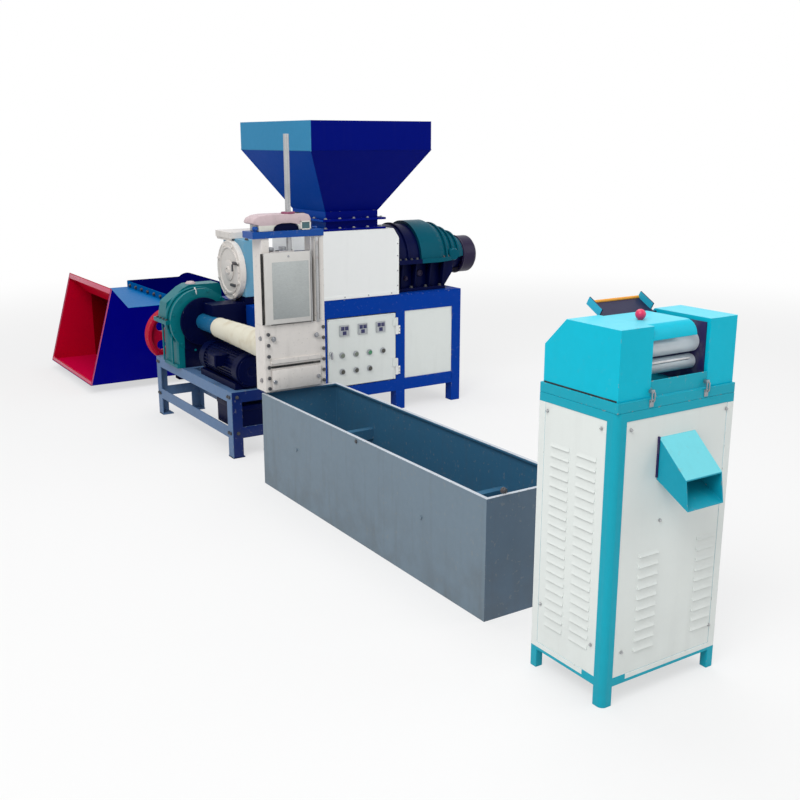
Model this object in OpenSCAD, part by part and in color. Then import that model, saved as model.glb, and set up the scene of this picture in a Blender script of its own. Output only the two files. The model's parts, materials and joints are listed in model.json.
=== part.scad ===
// Plastic pelletizing line: a main extruder with its hopper on a steel stand, a second
// extruder at right angles to it, a screen changer, a cooling water tank, a pellet cutter
// and the feed crusher behind. X runs along the main extruder, Y away from the cutter.
// Lengths are in millimetres. Places are measured from the near left foot of the tank.

/* [Water tank] */
// Outside width of the tank
tank_w = 456; // [360:1:600]
// Outside length of the tank
tank_l = 1957; // [1850:1:2400]
// Height of the rim over the ground
tank_h = 504; // [420:1:510]
// Thickness of the sheet the tank is folded from
tank_sheet = 5; // [4:0.5:8]
// Width of the lip folded inwards at the rim
tank_lip_w = 16; // [10:1:30]
// Distance from the cutter end to the first strand guide bar
guide_first = 434; // [300:1:600]
// Distance from the first guide bar to the second
guide_pitch = 1125; // [900:1:1200]
// Height of the guide bars' undersides
guide_z = 276; // [200:1:320]
// Height of a guide bar's web
guide_h = 56; // [40:1:80]

/* [Main stand] */
// Left end of the stand
stand_x = 400; // [398:1:420]
// Distance from the second stand's front to the main stand's front
stand_off_frame = 438; // [430:1:480]
// Length of the stand
stand_l = 1575; // [1560:1:1700]
// Depth of the stand from front to back
stand_d = 560; // [520:1:620]
// Height of the stand with its top plate
stand_h = 800; // [780:1:820]
// Side of the square posts
post_w = 72; // [60:1:80]
// Height of the top rails
top_rail_h = 113; // [90:1:125]
// Thickness of the top plate
top_plate_t = 6; // [5:1:10]
// Height of the lower rails' undersides
low_rail_z = 132; // [100:1:150]
// Height of the lower rails
low_rail_h = 82; // [60:1:90]
// Distance from the stand's right end to the middle post's right face
right_bay = 467; // [440:1:500]
// Clear width of the opening that the control door fills
door_bay = 534; // [500:1:560]
// Thickness of the sheet panels
panel_t = 4; // [3:1:6]
// Distance of the panels behind the faces of the posts
panel_inset = 6; // [4:1:12]

/* [Control door] */
// Thickness of the door
door_t = 24; // [18:1:30]
// Gap round the door
door_gap = 6; // [5:0.5:8]
// Radius of the hinge knuckles
knuckle_r = 9; // [8:0.5:11]
// Radius of the hinge pins
hinge_pin_r = 4; // [3:0.5:5]
// Height of one hinge
hinge_h = 112; // [90:2:130]
// Distance of the upper and lower hinges from the door's middle height
hinge_off = 140; // [120:1:160]
// Side of a temperature controller
controller_w = 72; // [60:1:80]
// Distance from one controller or button to the next
control_pitch = 140; // [120:1:150]
// Height of the controllers' centres
controller_z = 594; // [580:1:610]
// Radius of a push button
button_r = 15; // [12:1:20]

/* [Barrel cover and main barrel] */
// Left end of the white barrel cover
cover_x = 800; // [780:1:830]
// Length of the barrel cover
cover_l = 659; // [620:1:700]
// Height of the barrel cover
cover_h = 442; // [420:1:470]
// Slope cut off the cover's right top edge
cover_bevel = 40; // [10:1:60]
// Height of the main barrel's axis over the stand
axis_over_stand = 207; // [195:1:215]
// Radius of the main barrel
barrel_r = 80; // [60:1:100]
// Radius of the heater bands on the main barrel
heater_r = 98; // [90:1:120]
// Length of one heater band
heater_l = 70; // [60:1:80]
// Distance from one heater band to the next
heater_pitch = 92; // [84:1:100]
// Half width of the barrel's saddle at the stand
saddle_half = 130; // [110:1:150]
// Half width of the saddle at its top
saddle_top_half = 84; // [70:1:100]

/* [Head] */
// Left face of the round head cover
head_x = 360; // [340:1:380]
// Radius of the round head cover
head_r = 185; // [160:1:195]
// Thickness of the round head cover
head_cover_t = 34; // [24:1:44]
// Length of the head housing
head_l = 110; // [80:1:130]
// Half width of the head housing
head_half = 158; // [140:1:170]
// How far the head housing rises over the head cover
head_rise = 40; // [30:1:60]
// Height of the tray on the head
tray_h = 40; // [20:1:60]
// Length of the tray along the barrel
tray_l = 258; // [200:1:300]
// Distance of the tray's front from the barrel's axis
tray_front = 27; // [10:1:60]
// Width of the tray across the barrel
tray_w = 232; // [180:1:260]

/* [Hopper] */
// Half length of the hopper's mouth
mouth_half_x = 433; // [400:1:480]
// Half width of the hopper's mouth
mouth_half_y = 500; // [450:1:540]
// Half length of the hopper's neck
neck_half_x = 195; // [150:1:230]
// Half width of the hopper's neck
neck_half_y = 230; // [200:1:260]
// Height of the neck over the barrel cover
neck_over_cover = 121; // [100:1:150]
// Height of the sloping walls
hopper_slope_h = 384; // [330:1:430]
// Height of the straight band at the mouth
hopper_band_h = 174; // [140:1:200]
// Thickness of the hopper's walls
hopper_wall = 5; // [4:0.5:8]
// Thickness of the flanges at the neck
neck_flange_t = 14; // [8:1:20]
// How far the neck flanges stand out
neck_flange_out = 40; // [30:1:50]

/* [Main gearbox] */
// Length of the thrust housing beside the barrel cover
thrust_l = 200; // [160:1:240]
// Radius of the thrust housing
thrust_r = 236; // [200:1:245]
// Length of the gearbox's high drum
gear_l = 150; // [120:1:180]
// Radius of the gearbox's high drum
gear_r = 258; // [235:1:264]
// Length of the sloping part behind the drum
gear_slope_l = 291; // [250:1:320]
// Number of ribs on the sloping part
gear_ribs = 3; // [2:1:5]
// Thickness of a rib
rib_t = 12; // [8:1:16]
// Half width of the gearbox's base
gear_base_half = 180; // [160:1:200]
// Length of the base along the stand
gear_base_l = 431; // [400:1:450]
// How far the split flange reaches past the base
gear_flange_over = 80; // [60:1:90]
// Thickness of each half of the split flange
gear_flange_t = 14; // [10:1:18]
// Radius of the nose under the sloping part
gear_nose_r = 100; // [80:1:110]
// Length of the dark cap at the free end
gear_cap_l = 135; // [110:1:150]
// Radius of the cap
gear_cap_r = 130; // [112:1:135]
// Length of the cap's bevelled edge
gear_cap_bevel = 24; // [10:1:40]

/* [Second extruder] */
// Distance of the second barrel's axis from the tank's left side
screw_x = 173; // [165:1:200]
// Height of the second barrel's axis over the second stand
screw_over_frame = 295; // [286:1:306]
// Left side of the second stand
frame_x = 30; // [20:1:40]
// Distance from the changer's front to the second stand's front
frame_off_changer = 540; // [500:1:560]
// Width of the second stand
frame_w = 300; // [290:1:310]
// Length of the second stand behind the second gearbox
frame_tail = 230; // [200:1:260]
// Height of the second stand
frame_h = 399; // [380:1:405]
// Width of the legs' and rails' flanges
iron_w = 66; // [50:1:75]
// Thickness of the angle iron
iron_t = 7; // [5:1:9]
// Height of the lower rails' undersides on the second stand
frame_low_z = 117; // [90:1:150]
// Radius of the second gearbox's round front
drum_r = 196; // [180:1:200]
// Length of the second gearbox's round front
drum_l = 130; // [110:1:150]
// Length of the second gearbox's casing behind the round front
casing_y_l = 120; // [100:1:150]
// Half width of the casing
casing_half = 198; // [190:1:205]
// Height of the casing over the barrel's axis
casing_rise = 214; // [200:1:225]
// Width of the slope at the casing's left shoulder
shoulder_w = 132; // [100:1:150]
// Height of the slope at the casing's left shoulder
shoulder_h = 102; // [80:1:120]
// Half width of the casing's base
casing_base_half = 157; // [150:1:170]
// Thickness of each half of the casing's split flange
split_t = 12; // [8:1:16]
// How far the split flange stands out
split_out = 27; // [20:1:28]
// Length of the housing of the pulley's shaft
shaft_house_l = 190; // [150:1:195]
// Radius of the red pulley
pulley_r = 186; // [160:1:200]
// Width of the red pulley
pulley_w = 78; // [60:1:100]
// Number of belt grooves
groove_n = 4; // [2:1:5]
// Depth of a belt groove
groove_d = 9; // [6:0.5:12]
// Thickness of the pulley's rim with its grooves
rim_t = 24; // [18:1:30]
// Thickness of the pulley's web
web_t = 18; // [12:1:24]
// Radius of the pulley's hub
hub_r = 52; // [44:1:60]
// Radius of the holes in the web
web_hole_r = 32; // [24:1:34]
// Radius of the pulley's shaft
pulley_shaft_r = 24; // [20:1:30]
// Radius of the second motor
motor_r = 98; // [80:1:100]
// Height of the motor's cooling fins
fin_h = 10; // [6:1:14]
// Number of cooling fins
fin_n = 21; // [15:2:25]
// Length of the motor's end shields
shield_l = 70; // [50:1:90]
// Distance of the motor's front end behind the second stand's front
motor_off = 20; // [10:1:60]
// Gap between the motor and the bearing housing
motor_gap = 140; // [100:1:200]
// Length of the bearing housing
bearing_l = 40; // [32:1:60]
// Radius of the bearing housing
bearing_r = 132; // [120:1:140]
// Radius of the bearing housing's flange
bearing_flange_r = 152; // [144:1:160]
// Length of the feed throat along the second barrel
throat_l = 148; // [120:1:160]
// Width of the box inside the second stand
stand_box_w = 220; // [160:1:230]
// Length of the box inside the second stand
stand_box_l = 300; // [240:1:400]
// Height of the box inside the second stand
stand_box_h = 140; // [110:1:146]
// Radius of the second barrel
tube_r = 52; // [45:1:56]
// Bare barrel between the sleeve and the feed throat
sleeve_gap = 100; // [20:1:140]
// Radius of the wrapped sleeve at its rear end
sleeve_r_rear = 62; // [58:1:70]
// Radius of the wrapped sleeve at its front end
sleeve_r_front = 86; // [75:1:90]

/* [Screen changer] */
// How far the tank reaches under the changer
tank_under = 57; // [40:1:70]
// Left side of the changer
changer_x = 0; // [-10:1:10]
// Width of the changer
changer_w = 357; // [340:1:370]
// Depth of the changer
changer_d = 112; // [100:1:130]
// Underside of the changer's block
block_z = 518; // [512:1:530]
// Height of the changer's block
block_h = 352; // [330:1:356]
// Height of the die's slot over the block's underside
die_slot_z = 125; // [110:1:135]
// Height of the die's slot
die_slot_h = 12; // [8:1:14]
// Distance of the die's slot from the block's sides
die_slot_in = 32; // [24:1:44]
// Number of strand holes in the die
die_holes = 12; // [8:1:14]
// Height of the ledge over the block's underside
ledge_z = 150; // [145:1:156]
// Height of the ledge
ledge_h = 22; // [16:1:24]
// How far the ledge stands out
ledge_out = 8; // [5:1:12]
// Height of the columns' tops
column_top = 1322; // [1290:1:1340]
// Width of the left column
column_w_left = 42; // [36:1:50]
// Width of the right column
column_w_right = 54; // [46:1:60]
// Height of the crossbar
crossbar_h = 34; // [26:1:44]
// Thickness of the slide plate
slide_t = 34; // [28:1:40]
// Top edge of the slide plate
slide_top = 1246; // [1230:1:1250]
// Bottom edge of the slide plate
slide_bottom = 700; // [690:1:720]
// Running gap round the slide plate
slide_gap = 6; // [5:0.5:7]
// Radius of the lifting screw
lift_screw_r = 14; // [11:0.5:16]
// Top of the lifting screw
lift_screw_top = 1838; // [1780:1:1860]

/* [Pellet cutter] */
// Left side of the cutter
cutter_x = -57; // [-70:1:-40]
// Gap between the tank and the cutter
cutter_gap = 345; // [320:1:400]
// Width of the cutter's cabinet
cutter_w = 532; // [510:1:560]
// Depth of the cutter's cabinet
cutter_d = 360; // [350:1:380]
// Height of the cabinet's top
cabinet_h = 1001; // [960:1:1040]
// Height of the hood over the cabinet
hood_h = 258; // [248:1:280]
// Radius of the cabinet's rounded corner post
corner_r = 22; // [14:1:28]
// Side of the cabinet's other posts
cab_post = 30; // [24:1:36]
// Height of the cabinet's feet
cab_foot_h = 70; // [50:1:90]
// Thickness of the cabinet's sheet panels
cab_sheet = 3; // [2:0.5:5]
// Thickness of the cutter's base plate
base_plate_t = 34; // [28:1:40]
// Width of the hood's left block
hood_left_w = 145; // [130:1:160]
// Width of the hood's right block
hood_right_w = 132; // [115:1:145]
// Thickness of the sheet that covers the feed rollers
cover_t = 6; // [4:0.5:8]
// Open gap between the sheet and the right hood block
cover_gap = 60; // [40:1:80]
// Radius of the sheet's roll over the window
guard_r = 47; // [40:1:52]
// Height of the sill under the window
sill_h = 52; // [40:1:56]
// Depth of the sill
sill_d = 38; // [30:1:42]
// Height of the lower roller's axis over the base plate
lower_roller_rise = 76; // [70:1:82]
// Radius of the upper feed roller
upper_roller_r = 34; // [28:1:38]
// Radius of the lower feed roller
lower_roller_r = 24; // [18:1:26]
// Radius of the rollers' journals
journal_r = 12; // [8:1:15]
// Length of the feed lid from hinge to lip
lid_l = 84; // [70:1:100]
// Slope of the raised feed lid
lid_rise = 29; // [15:1:40]
// Radius of the knob on the cover
knob_r = 17; // [14:0.5:20]
// Distance of the knob from the window's left side
knob_off = 47; // [36:1:60]
// Distance of the knob behind the cutter's front
knob_back = 114; // [100:1:130]

/* [Louvres] */
// Length of a louvre
louvre_l = 88; // [70:1:96]
// Height of a louvre
louvre_h = 17; // [12:1:20]
// How far a louvre stands out
louvre_out = 6; // [4:0.5:8]
// Distance of the side panels' top louvres under the cabinet's top
side_louvre_drop = 172; // [150:1:190]
// Distance from one louvre to the next on the side panels
side_louvre_pitch = 34; // [30:1:36]
// Distance between the two columns on the side panels
side_column_gap = 125; // [110:1:135]
// Distance of the front panel's top louvres under the cabinet's top
front_louvre_drop = 496; // [440:1:520]
// Distance from one louvre to the next on the front panel
front_louvre_pitch = 37; // [32:1:38]
// Distance of the front panel's first column from the panel's edge
front_column_in = 132; // [110:1:140]
// Distance between the two columns on the front panel
front_column_gap = 271; // [240:1:275]

/* [Discharge chute] */
// How far the discharge chute stands out
chute_reach = 135; // [110:1:160]
// Distance of the chute from the cutter's left side
chute_off = 190; // [180:1:210]
// Width of the chute
chute_w = 165; // [140:1:180]
// Distance of the chute's top under the cabinet's top
chute_drop = 101; // [90:1:120]
// Height of the chute at the panel
chute_h = 140; // [120:1:160]
// How far the chute's top falls to the outlet
chute_fall = 110; // [90:1:130]
// Height of the outlet
chute_lip_h = 100; // [80:1:110]
// Thickness of the chute's sheet
chute_sheet = 4; // [3:0.5:6]

/* [Feed crusher] */
// Distance from the second stand's back to the crusher
crusher_off = 779; // [700:1:820]
// Width of the crusher's mouth
crusher_w = 1086; // [1000:1:1150]
// Height of the crusher's upper lip
lip_top = 762; // [740:1:790]
// Height of the crusher's lower lip
lip_low = 60; // [50:1:80]
// How far the lower lip stands out past the upper lip
lip_reach = 197; // [170:1:220]
// Place of the upper lip
lip_x = -10; // [-20:1:0]
// Distance from the upper lip to the crease in the top
crease_run = 117; // [100:1:140]
// How far the top falls from the upper lip to the crease
crease_drop = 151; // [130:1:170]
// Length of the crusher's inlet casing behind the crease
casing_l = 350; // [330:1:380]
// Depth of the inlet behind the crease
inlet_l = 300; // [240:1:310]
// Length of the rotor housing behind the inlet casing
rotor_l = 528; // [480:1:560]
// Height of the rotor housing over the crease
rotor_rise = 54; // [40:1:70]
// Radius of the rotor housing's rounded back
rotor_r = 100; // [80:1:110]
// How far the rounded back rises over the housing
rotor_hump = 29; // [20:1:40]
// Side of the crusher's feet
crusher_foot = 80; // [60:1:100]
// Width of the bars at the mouth's upper and lower edges
mouth_bar_w = 32; // [24:1:40]
// Thickness of the crusher's walls
crusher_wall = 8; // [6:1:12]

/* [Hidden] */
$fn = 48;

// Main extruder
changer_y = tank_l - tank_under;
frame_y = changer_y + frame_off_changer;
stand_y = frame_y + stand_off_frame;
stand_right = stand_x + stand_l;
stand_mid_y = stand_y + stand_d / 2;
axis_z = stand_h + axis_over_stand;
frame_top = stand_h - top_plate_t;
panel_z = low_rail_z + low_rail_h;
panel_h = frame_top - top_rail_h - panel_z;
mid_post_x = stand_right - right_bay - post_w;
door_x = mid_post_x - door_bay;
left_post_x = door_x - post_w;
door_mid_z = panel_z + panel_h / 2;
door_mid_x = door_x + door_bay / 2;
hinge_x = mid_post_x;
hinge_y = stand_y - knuckle_r;
cover_right = cover_x + cover_l;
cover_top = stand_h + cover_h;
hopper_x = cover_x + cover_l / 2;
neck_z = cover_top + neck_over_cover;
gear_x = cover_right;
head_back_x = head_x + head_cover_t + head_l;
drum_x = gear_x + thrust_l;
slope_x = drum_x + gear_l;
gear_end = slope_x + gear_slope_l;
cap_end = gear_end + gear_cap_l;
saddle_x = head_back_x + 14 + heater_pitch;
head_top = axis_z + head_half + head_rise;

// Second extruder and screen changer
throat_y = stand_mid_y - throat_l;
bearing_y = throat_y + throat_l + 2;
gear_front = bearing_y + bearing_l;
casing_y = gear_front + drum_l;
gear_back = casing_y + casing_y_l;
screw_z = frame_h + screw_over_frame;
frame_back = gear_back + frame_tail;
pulley_y = frame_back + 8;
pulley_z = frame_h + 125;
shaft_fit = 0.05;
motor_z = frame_h + motor_r + 8;
changer_back = changer_y + changer_d;
slide_w = changer_w - column_w_left - column_w_right;
slide_x = changer_x + column_w_left;
slide_mid_x = slide_x + slide_w / 2;
slot_d = slide_t + 2 * slide_gap;
crossbar_top = column_top + crossbar_h;
guide_lip = 12;
screw_fit = 0.3;

// Cutter
cutter_back = -cutter_gap;
cutter_front = cutter_back - cutter_d;
base_top = cabinet_h + base_plate_t;
hood_top = cabinet_h + hood_h;
hood_window_x = cutter_x + hood_left_w;
hood_window_w = cutter_w - hood_left_w - hood_right_w;
hood_back_y = cutter_back - 10;
hood_front_y = cutter_front + 8;
slope_y = hood_back_y - 100;
slope_z = hood_top - 96;
roller_gap = 8;
lower_roller_z = base_top + lower_roller_rise;
upper_roller_z = lower_roller_z + lower_roller_r + upper_roller_r + roller_gap;
roller_y = hood_front_y + 70;
lid_hinge_y = slope_y - 4;
lid_hinge_z = hood_top - 12;
lid_pin_r = 5;
journal_l = 24;

// Crusher
lip_out = lip_x - lip_reach;
crusher_y = frame_back + crusher_off;
crease_x = lip_x + crease_run;
crease_z = lip_top - crease_drop;
throat_end_x = crease_x + casing_l;
rotor_end = throat_end_x + rotor_l;
crusher_back = crusher_y + crusher_w;

// The whole line's box, for an origin in the middle of its footprint
line_x_lo = min(lip_out, cutter_x, changer_x);
line_x_hi = cap_end;
line_y_lo = cutter_front + 2 - chute_reach;
line_y_hi = crusher_back;

module place() {
    translate([-(line_x_lo + line_x_hi) / 2, -(line_y_lo + line_y_hi) / 2, 0]) children();
}

// A box given by its two opposite corners
module block(lo, hi) {
    translate(lo) cube(hi - lo);
}

// A cylinder along X, from x0 to x1 at y, z
module rod_x(x0, x1, y, z, r) {
    translate([x0, y, z]) rotate([0, 90, 0]) cylinder(h = x1 - x0, r = r);
}

// A cone frustum along X
module cone_x(x0, x1, y, z, r0, r1) {
    translate([x0, y, z]) rotate([0, 90, 0]) cylinder(h = x1 - x0, r1 = r0, r2 = r1);
}

// A cylinder along Y, from y0 to y1 at x, z
module rod_y(x, y0, y1, z, r) {
    translate([x, y0, z]) rotate([-90, 0, 0]) cylinder(h = y1 - y0, r = r);
}

// A cone frustum along Y
module cone_y(x, y0, y1, z, r0, r1) {
    translate([x, y0, z]) rotate([-90, 0, 0]) cylinder(h = y1 - y0, r1 = r0, r2 = r1);
}

// A prism along X: an outline in the Y-Z plane
module prism_x(x0, x1, points) {
    translate([x0, 0, 0]) rotate([90, 0, 90]) linear_extrude(x1 - x0) polygon(points);
}

// A prism along Y: an outline in the X-Z plane
module prism_y(y0, y1, points) {
    translate([0, y1, 0]) rotate([90, 0, 0]) linear_extrude(y1 - y0) polygon(points);
}

module water_tank() {
    color("lightslategray") place() difference() {
        cube([tank_w, tank_l, tank_h]);
        translate([tank_sheet, tank_sheet, tank_sheet])
            cube([tank_w - 2 * tank_sheet, tank_l - 2 * tank_sheet, tank_h - 2 * tank_sheet]);
        translate([tank_lip_w, tank_lip_w, tank_h / 2])
            cube([tank_w - 2 * tank_lip_w, tank_l - 2 * tank_lip_w, tank_h]);
    }
}

module guide_bar(y) {
    block([tank_sheet, y, guide_z], [tank_w - tank_sheet, y + 8, guide_z + guide_h]);
    block([tank_sheet, y, guide_z + guide_h - 6], [tank_w - tank_sheet, y + 40, guide_z + guide_h]);
    for (side = [-6, tank_w]) rod_x(side, side + 6, y + 4, guide_z + guide_h / 4, 8);
}

module tank_guide_bars() {
    color("slategray") place() for (i = [0:1]) guide_bar(guide_first + i * guide_pitch);
}

module stand_post(x, y) {
    translate([x, y, 0]) cube([post_w, post_w, frame_top]);
}

module stand_rails(y) {
    block([stand_x + 1, y, frame_top - top_rail_h], [stand_right - 1, y + post_w, frame_top]);
    block([stand_x + 1, y, low_rail_z], [stand_right - 1, y + post_w, panel_z]);
}

module main_stand() {
    back_y = stand_y + stand_d - post_w;
    color("royalblue") place() {
        for (x = [stand_x, left_post_x, mid_post_x, stand_right - post_w])
            for (y = [stand_y, back_y]) stand_post(x, y);
        for (y = [stand_y, back_y]) stand_rails(y);
        for (x = [stand_x, stand_right - post_w]) {
            block([x, stand_y + 1, frame_top - top_rail_h], [x + post_w, back_y + 1, frame_top]);
            block([x, stand_y + 1, low_rail_z], [x + post_w, back_y + 1, panel_z]);
        }
    }
}

module stand_top_plate() {
    color("royalblue") place()
        block([stand_x, stand_y, frame_top], [stand_right, stand_y + stand_d, stand_h]);
}

module bay_panel(x0, x1, y) {
    block([x0, y, panel_z], [x1, y + panel_t, panel_z + panel_h]);
}

module front_right_panel() {
    color("gainsboro") place()
        bay_panel(mid_post_x + post_w, stand_right - post_w, stand_y + panel_inset);
}

module stand_end_panels() {
    y0 = stand_y + post_w;
    y1 = stand_y + stand_d - post_w;
    color("royalblue") place() for (x = [stand_x + panel_inset, stand_right - panel_inset - panel_t])
        block([x, y0, panel_z], [x + panel_t, y1, panel_z + panel_h]);
}

module stand_back_panels() {
    y = stand_y + stand_d - panel_inset - panel_t;
    color("gainsboro") place() {
        bay_panel(stand_x + post_w, left_post_x, y);
        bay_panel(left_post_x + post_w, mid_post_x, y);
        bay_panel(mid_post_x + post_w, stand_right - post_w, y);
        bay_panel(stand_x + post_w, left_post_x, stand_y + panel_inset);
    }
}

// The door's half of a hinge: the upper knuckle and its leaf
module door_leaf(z) {
    difference() {
        union() {
            translate([hinge_x, hinge_y, z + 0.5]) cylinder(h = hinge_h / 2 - 0.5, r = knuckle_r);
            block([hinge_x - 26, stand_y - knuckle_r - 2, z + 0.5],
                [hinge_x, stand_y - knuckle_r + 3, z + hinge_h / 2]);
        }
        translate([hinge_x, hinge_y, z - 1]) cylinder(h = hinge_h, r = hinge_pin_r + 0.3);
    }
}

module control_door() {
    x0 = door_x + door_gap;
    x1 = mid_post_x - door_gap;
    color("gainsboro") place() {
        block([x0, stand_y - 2, panel_z + door_gap],
            [x1, stand_y - 2 + door_t, panel_z + panel_h - door_gap]);
        for (s = [-1, 1]) {
            door_leaf(door_mid_z + s * hinge_off);
            block([x1 - 22, stand_y - knuckle_r - 2, door_mid_z + s * hinge_off + 0.5],
                [x1 - 12, stand_y, door_mid_z + s * hinge_off + hinge_h / 2]);
        }
        // Twist latch at the free edge
        translate([x0 + 22, stand_y - 2, door_mid_z]) rotate([90, 0, 0]) cylinder(h = 10, r = 12);
    }
}

module temperature_controllers() {
    y = stand_y - 2;
    color("dimgray") place() for (i = [-1:1])
        block([door_mid_x + i * control_pitch - controller_w / 2, y - 9, controller_z - controller_w / 2],
            [door_mid_x + i * control_pitch + controller_w / 2, y, controller_z + controller_w / 2]);
}

module push_button(x, z) {
    translate([x, stand_y - 2, z]) rotate([90, 0, 0]) {
        cylinder(h = 4, r = button_r + 5);
        cylinder(h = 14, r = button_r);
    }
}

module push_buttons() {
    pitch = control_pitch * 0.75;
    color("firebrick") place() {
        for (i = [0:3]) push_button(door_mid_x + (i - 1.5) * pitch, door_mid_z - 18);
        for (i = [0:2]) push_button(door_mid_x + (i - 1.5) * pitch, door_mid_z - 128);
    }
}

// The post's half of each hinge: the lower knuckle, its leaf and the pin
module door_hinges() {
    color("white") place() for (s = [-1, 1]) translate([0, 0, door_mid_z + s * hinge_off]) {
        translate([hinge_x, hinge_y, -hinge_h / 2]) cylinder(h = hinge_h / 2, r = knuckle_r);
        translate([hinge_x, hinge_y, -hinge_h / 2]) cylinder(h = hinge_h, r = hinge_pin_r);
        block([hinge_x + 2, stand_y - 6, -hinge_h / 2], [hinge_x + 30, stand_y, 0]);
    }
}

module barrel_cover() {
    b = cover_bevel;
    color("whitesmoke") place() prism_y(stand_y, stand_y + stand_d, [
        [cover_x, stand_h], [cover_right, stand_h], [cover_right, cover_top - 1.5 * b],
        [cover_right - b, cover_top], [cover_x, cover_top]
    ]);
}

module main_barrel() {
    x0 = head_back_x;
    color("slategray") place() {
        rod_x(x0, cover_x, stand_mid_y, axis_z, barrel_r);
        for (i = [0:2]) translate([i * heater_pitch, 0, 0])
            rod_x(x0 + 14, x0 + 14 + heater_l, stand_mid_y, axis_z, heater_r);
    }
}

module barrel_supports() {
    color("royalblue") place() difference() {
        prism_x(saddle_x, saddle_x + heater_l, [
            [stand_mid_y - saddle_half, stand_h], [stand_mid_y + saddle_half, stand_h],
            [stand_mid_y + saddle_top_half, axis_z - 60], [stand_mid_y - saddle_top_half, axis_z - 60]
        ]);
        rod_x(saddle_x - 1, saddle_x + heater_l + 1, stand_mid_y, axis_z, heater_r + screw_fit);
    }
}

module head_housing() {
    x0 = head_x + head_cover_t;
    color("steelblue") place()
        block([x0, stand_mid_y - head_half, axis_z - head_half],
            [x0 + head_l, stand_mid_y + head_half, head_top]);
}

module head_cover() {
    color("antiquewhite") place() difference() {
        union() {
            rod_x(head_x, head_x + head_cover_t, stand_mid_y, axis_z, head_r);
            rod_x(head_x - 8, head_x, stand_mid_y, axis_z, head_r - 34);
        }
        rod_x(head_x - 9, head_x, stand_mid_y, axis_z, head_r - 46);
    }
}

module head_top_plate() {
    y0 = stand_mid_y - tray_front;
    color("tan") place()
        block([head_x + 2, y0, head_top], [head_x + 2 + tray_l, y0 + tray_w, head_top + tray_h]);
}

// A sloping tube between two rectangles
module frustum(half_lo, half_hi, z0, z1) {
    hull() {
        translate([-half_lo[0], -half_lo[1], z0]) cube([2 * half_lo[0], 2 * half_lo[1], 0.01]);
        translate([-half_hi[0], -half_hi[1], z1 - 0.01]) cube([2 * half_hi[0], 2 * half_hi[1], 0.01]);
    }
}

module hopper() {
    w = hopper_wall;
    z1 = neck_z + hopper_slope_h;
    z2 = z1 + hopper_band_h;
    color("mediumblue") place() translate([hopper_x, stand_mid_y, 0]) difference() {
        union() {
            frustum([neck_half_x, neck_half_y], [mouth_half_x, mouth_half_y], neck_z, z1);
            block([-mouth_half_x, -mouth_half_y, z1 - 0.01], [mouth_half_x, mouth_half_y, z2]);
        }
        frustum([neck_half_x - w, neck_half_y - w], [mouth_half_x - w, mouth_half_y - w],
            neck_z - 0.01, z1 + 0.01);
        block([w - mouth_half_x, w - mouth_half_y, z1], [mouth_half_x - w, mouth_half_y - w, z2 + 1]);
    }
}

module hopper_neck() {
    w = hopper_wall;
    f = neck_flange_out;
    color("mediumblue") place() translate([hopper_x, stand_mid_y, 0]) difference() {
        union() {
            block([-neck_half_x, -neck_half_y, cover_top], [neck_half_x, neck_half_y, neck_z]);
            for (z = [cover_top, cover_top + neck_over_cover / 2])
                block([-neck_half_x - f, -neck_half_y - f, z],
                    [neck_half_x + f, neck_half_y + f, z + neck_flange_t]);
        }
        block([w - neck_half_x, w - neck_half_y, cover_top + 6],
            [neck_half_x - w, neck_half_y - w, neck_z + 1]);
    }
}

// The radius of the gearbox's sloping part
function slope_r(x) = gear_r + (gear_cap_r - gear_r) * (x - slope_x) / gear_slope_l;

// The upper half of the gearbox: thrust housing, high drum and ribbed slope
module gearbox_upper() {
    mid_x = gear_x + thrust_l / 2;
    difference() {
        union() {
            rod_x(gear_x, drum_x, stand_mid_y, axis_z, thrust_r);
            rod_x(mid_x, mid_x + rib_t, stand_mid_y, axis_z, thrust_r + rib_t);
            rod_x(drum_x, slope_x, stand_mid_y, axis_z, gear_r);
            cone_x(slope_x, gear_end, stand_mid_y, axis_z, gear_r, gear_cap_r);
            for (i = [1:gear_ribs]) {
                x = slope_x + i * gear_slope_l / (gear_ribs + 1);
                rod_x(x, x + rib_t, stand_mid_y, axis_z, slope_r(x) + rib_t);
            }
        }
        block([gear_x - 1, stand_y - 1, 0], [cap_end, stand_y + stand_d + 1, axis_z]);
    }
}

module main_gearbox() {
    base_end = gear_x + gear_base_l;
    flange_end = base_end + gear_flange_over;
    wide = gear_r + rib_t;
    narrow = slope_r(flange_end) + 2 * rib_t;
    color("teal") place() {
        gearbox_upper();
        translate([0, stand_mid_y, axis_z - gear_flange_t]) linear_extrude(2 * gear_flange_t) polygon([
            [gear_x, -wide], [slope_x, -wide], [flange_end, -narrow],
            [flange_end, narrow], [slope_x, wide], [gear_x, wide]
        ]);
        prism_y(stand_mid_y - gear_base_half, stand_mid_y + gear_base_half, [
            [gear_x, stand_h], [base_end, stand_h], [flange_end, axis_z - gear_nose_r],
            [flange_end, axis_z], [gear_x, axis_z]
        ]);
        block([gear_x + 10, stand_mid_y - gear_base_half - 40, stand_h],
            [base_end - 6, stand_mid_y + gear_base_half + 40, stand_h + 22]);
        rod_x(base_end, gear_end, stand_mid_y, axis_z, gear_nose_r);
    }
}

module gearbox_cap() {
    b = gear_cap_bevel;
    color("midnightblue") place() {
        rod_x(gear_end, cap_end - b, stand_mid_y, axis_z, gear_cap_r);
        cone_x(cap_end - b, cap_end, stand_mid_y, axis_z, gear_cap_r, gear_cap_r - b);
    }
}

module angle_leg(x, y, sx, sy) {
    translate([x, y, 0]) mirror([sx < 0 ? 1 : 0, 0, 0]) mirror([0, sy < 0 ? 1 : 0, 0]) {
        cube([iron_w, iron_t, frame_h]);
        cube([iron_t, iron_w, frame_h]);
    }
}

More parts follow.
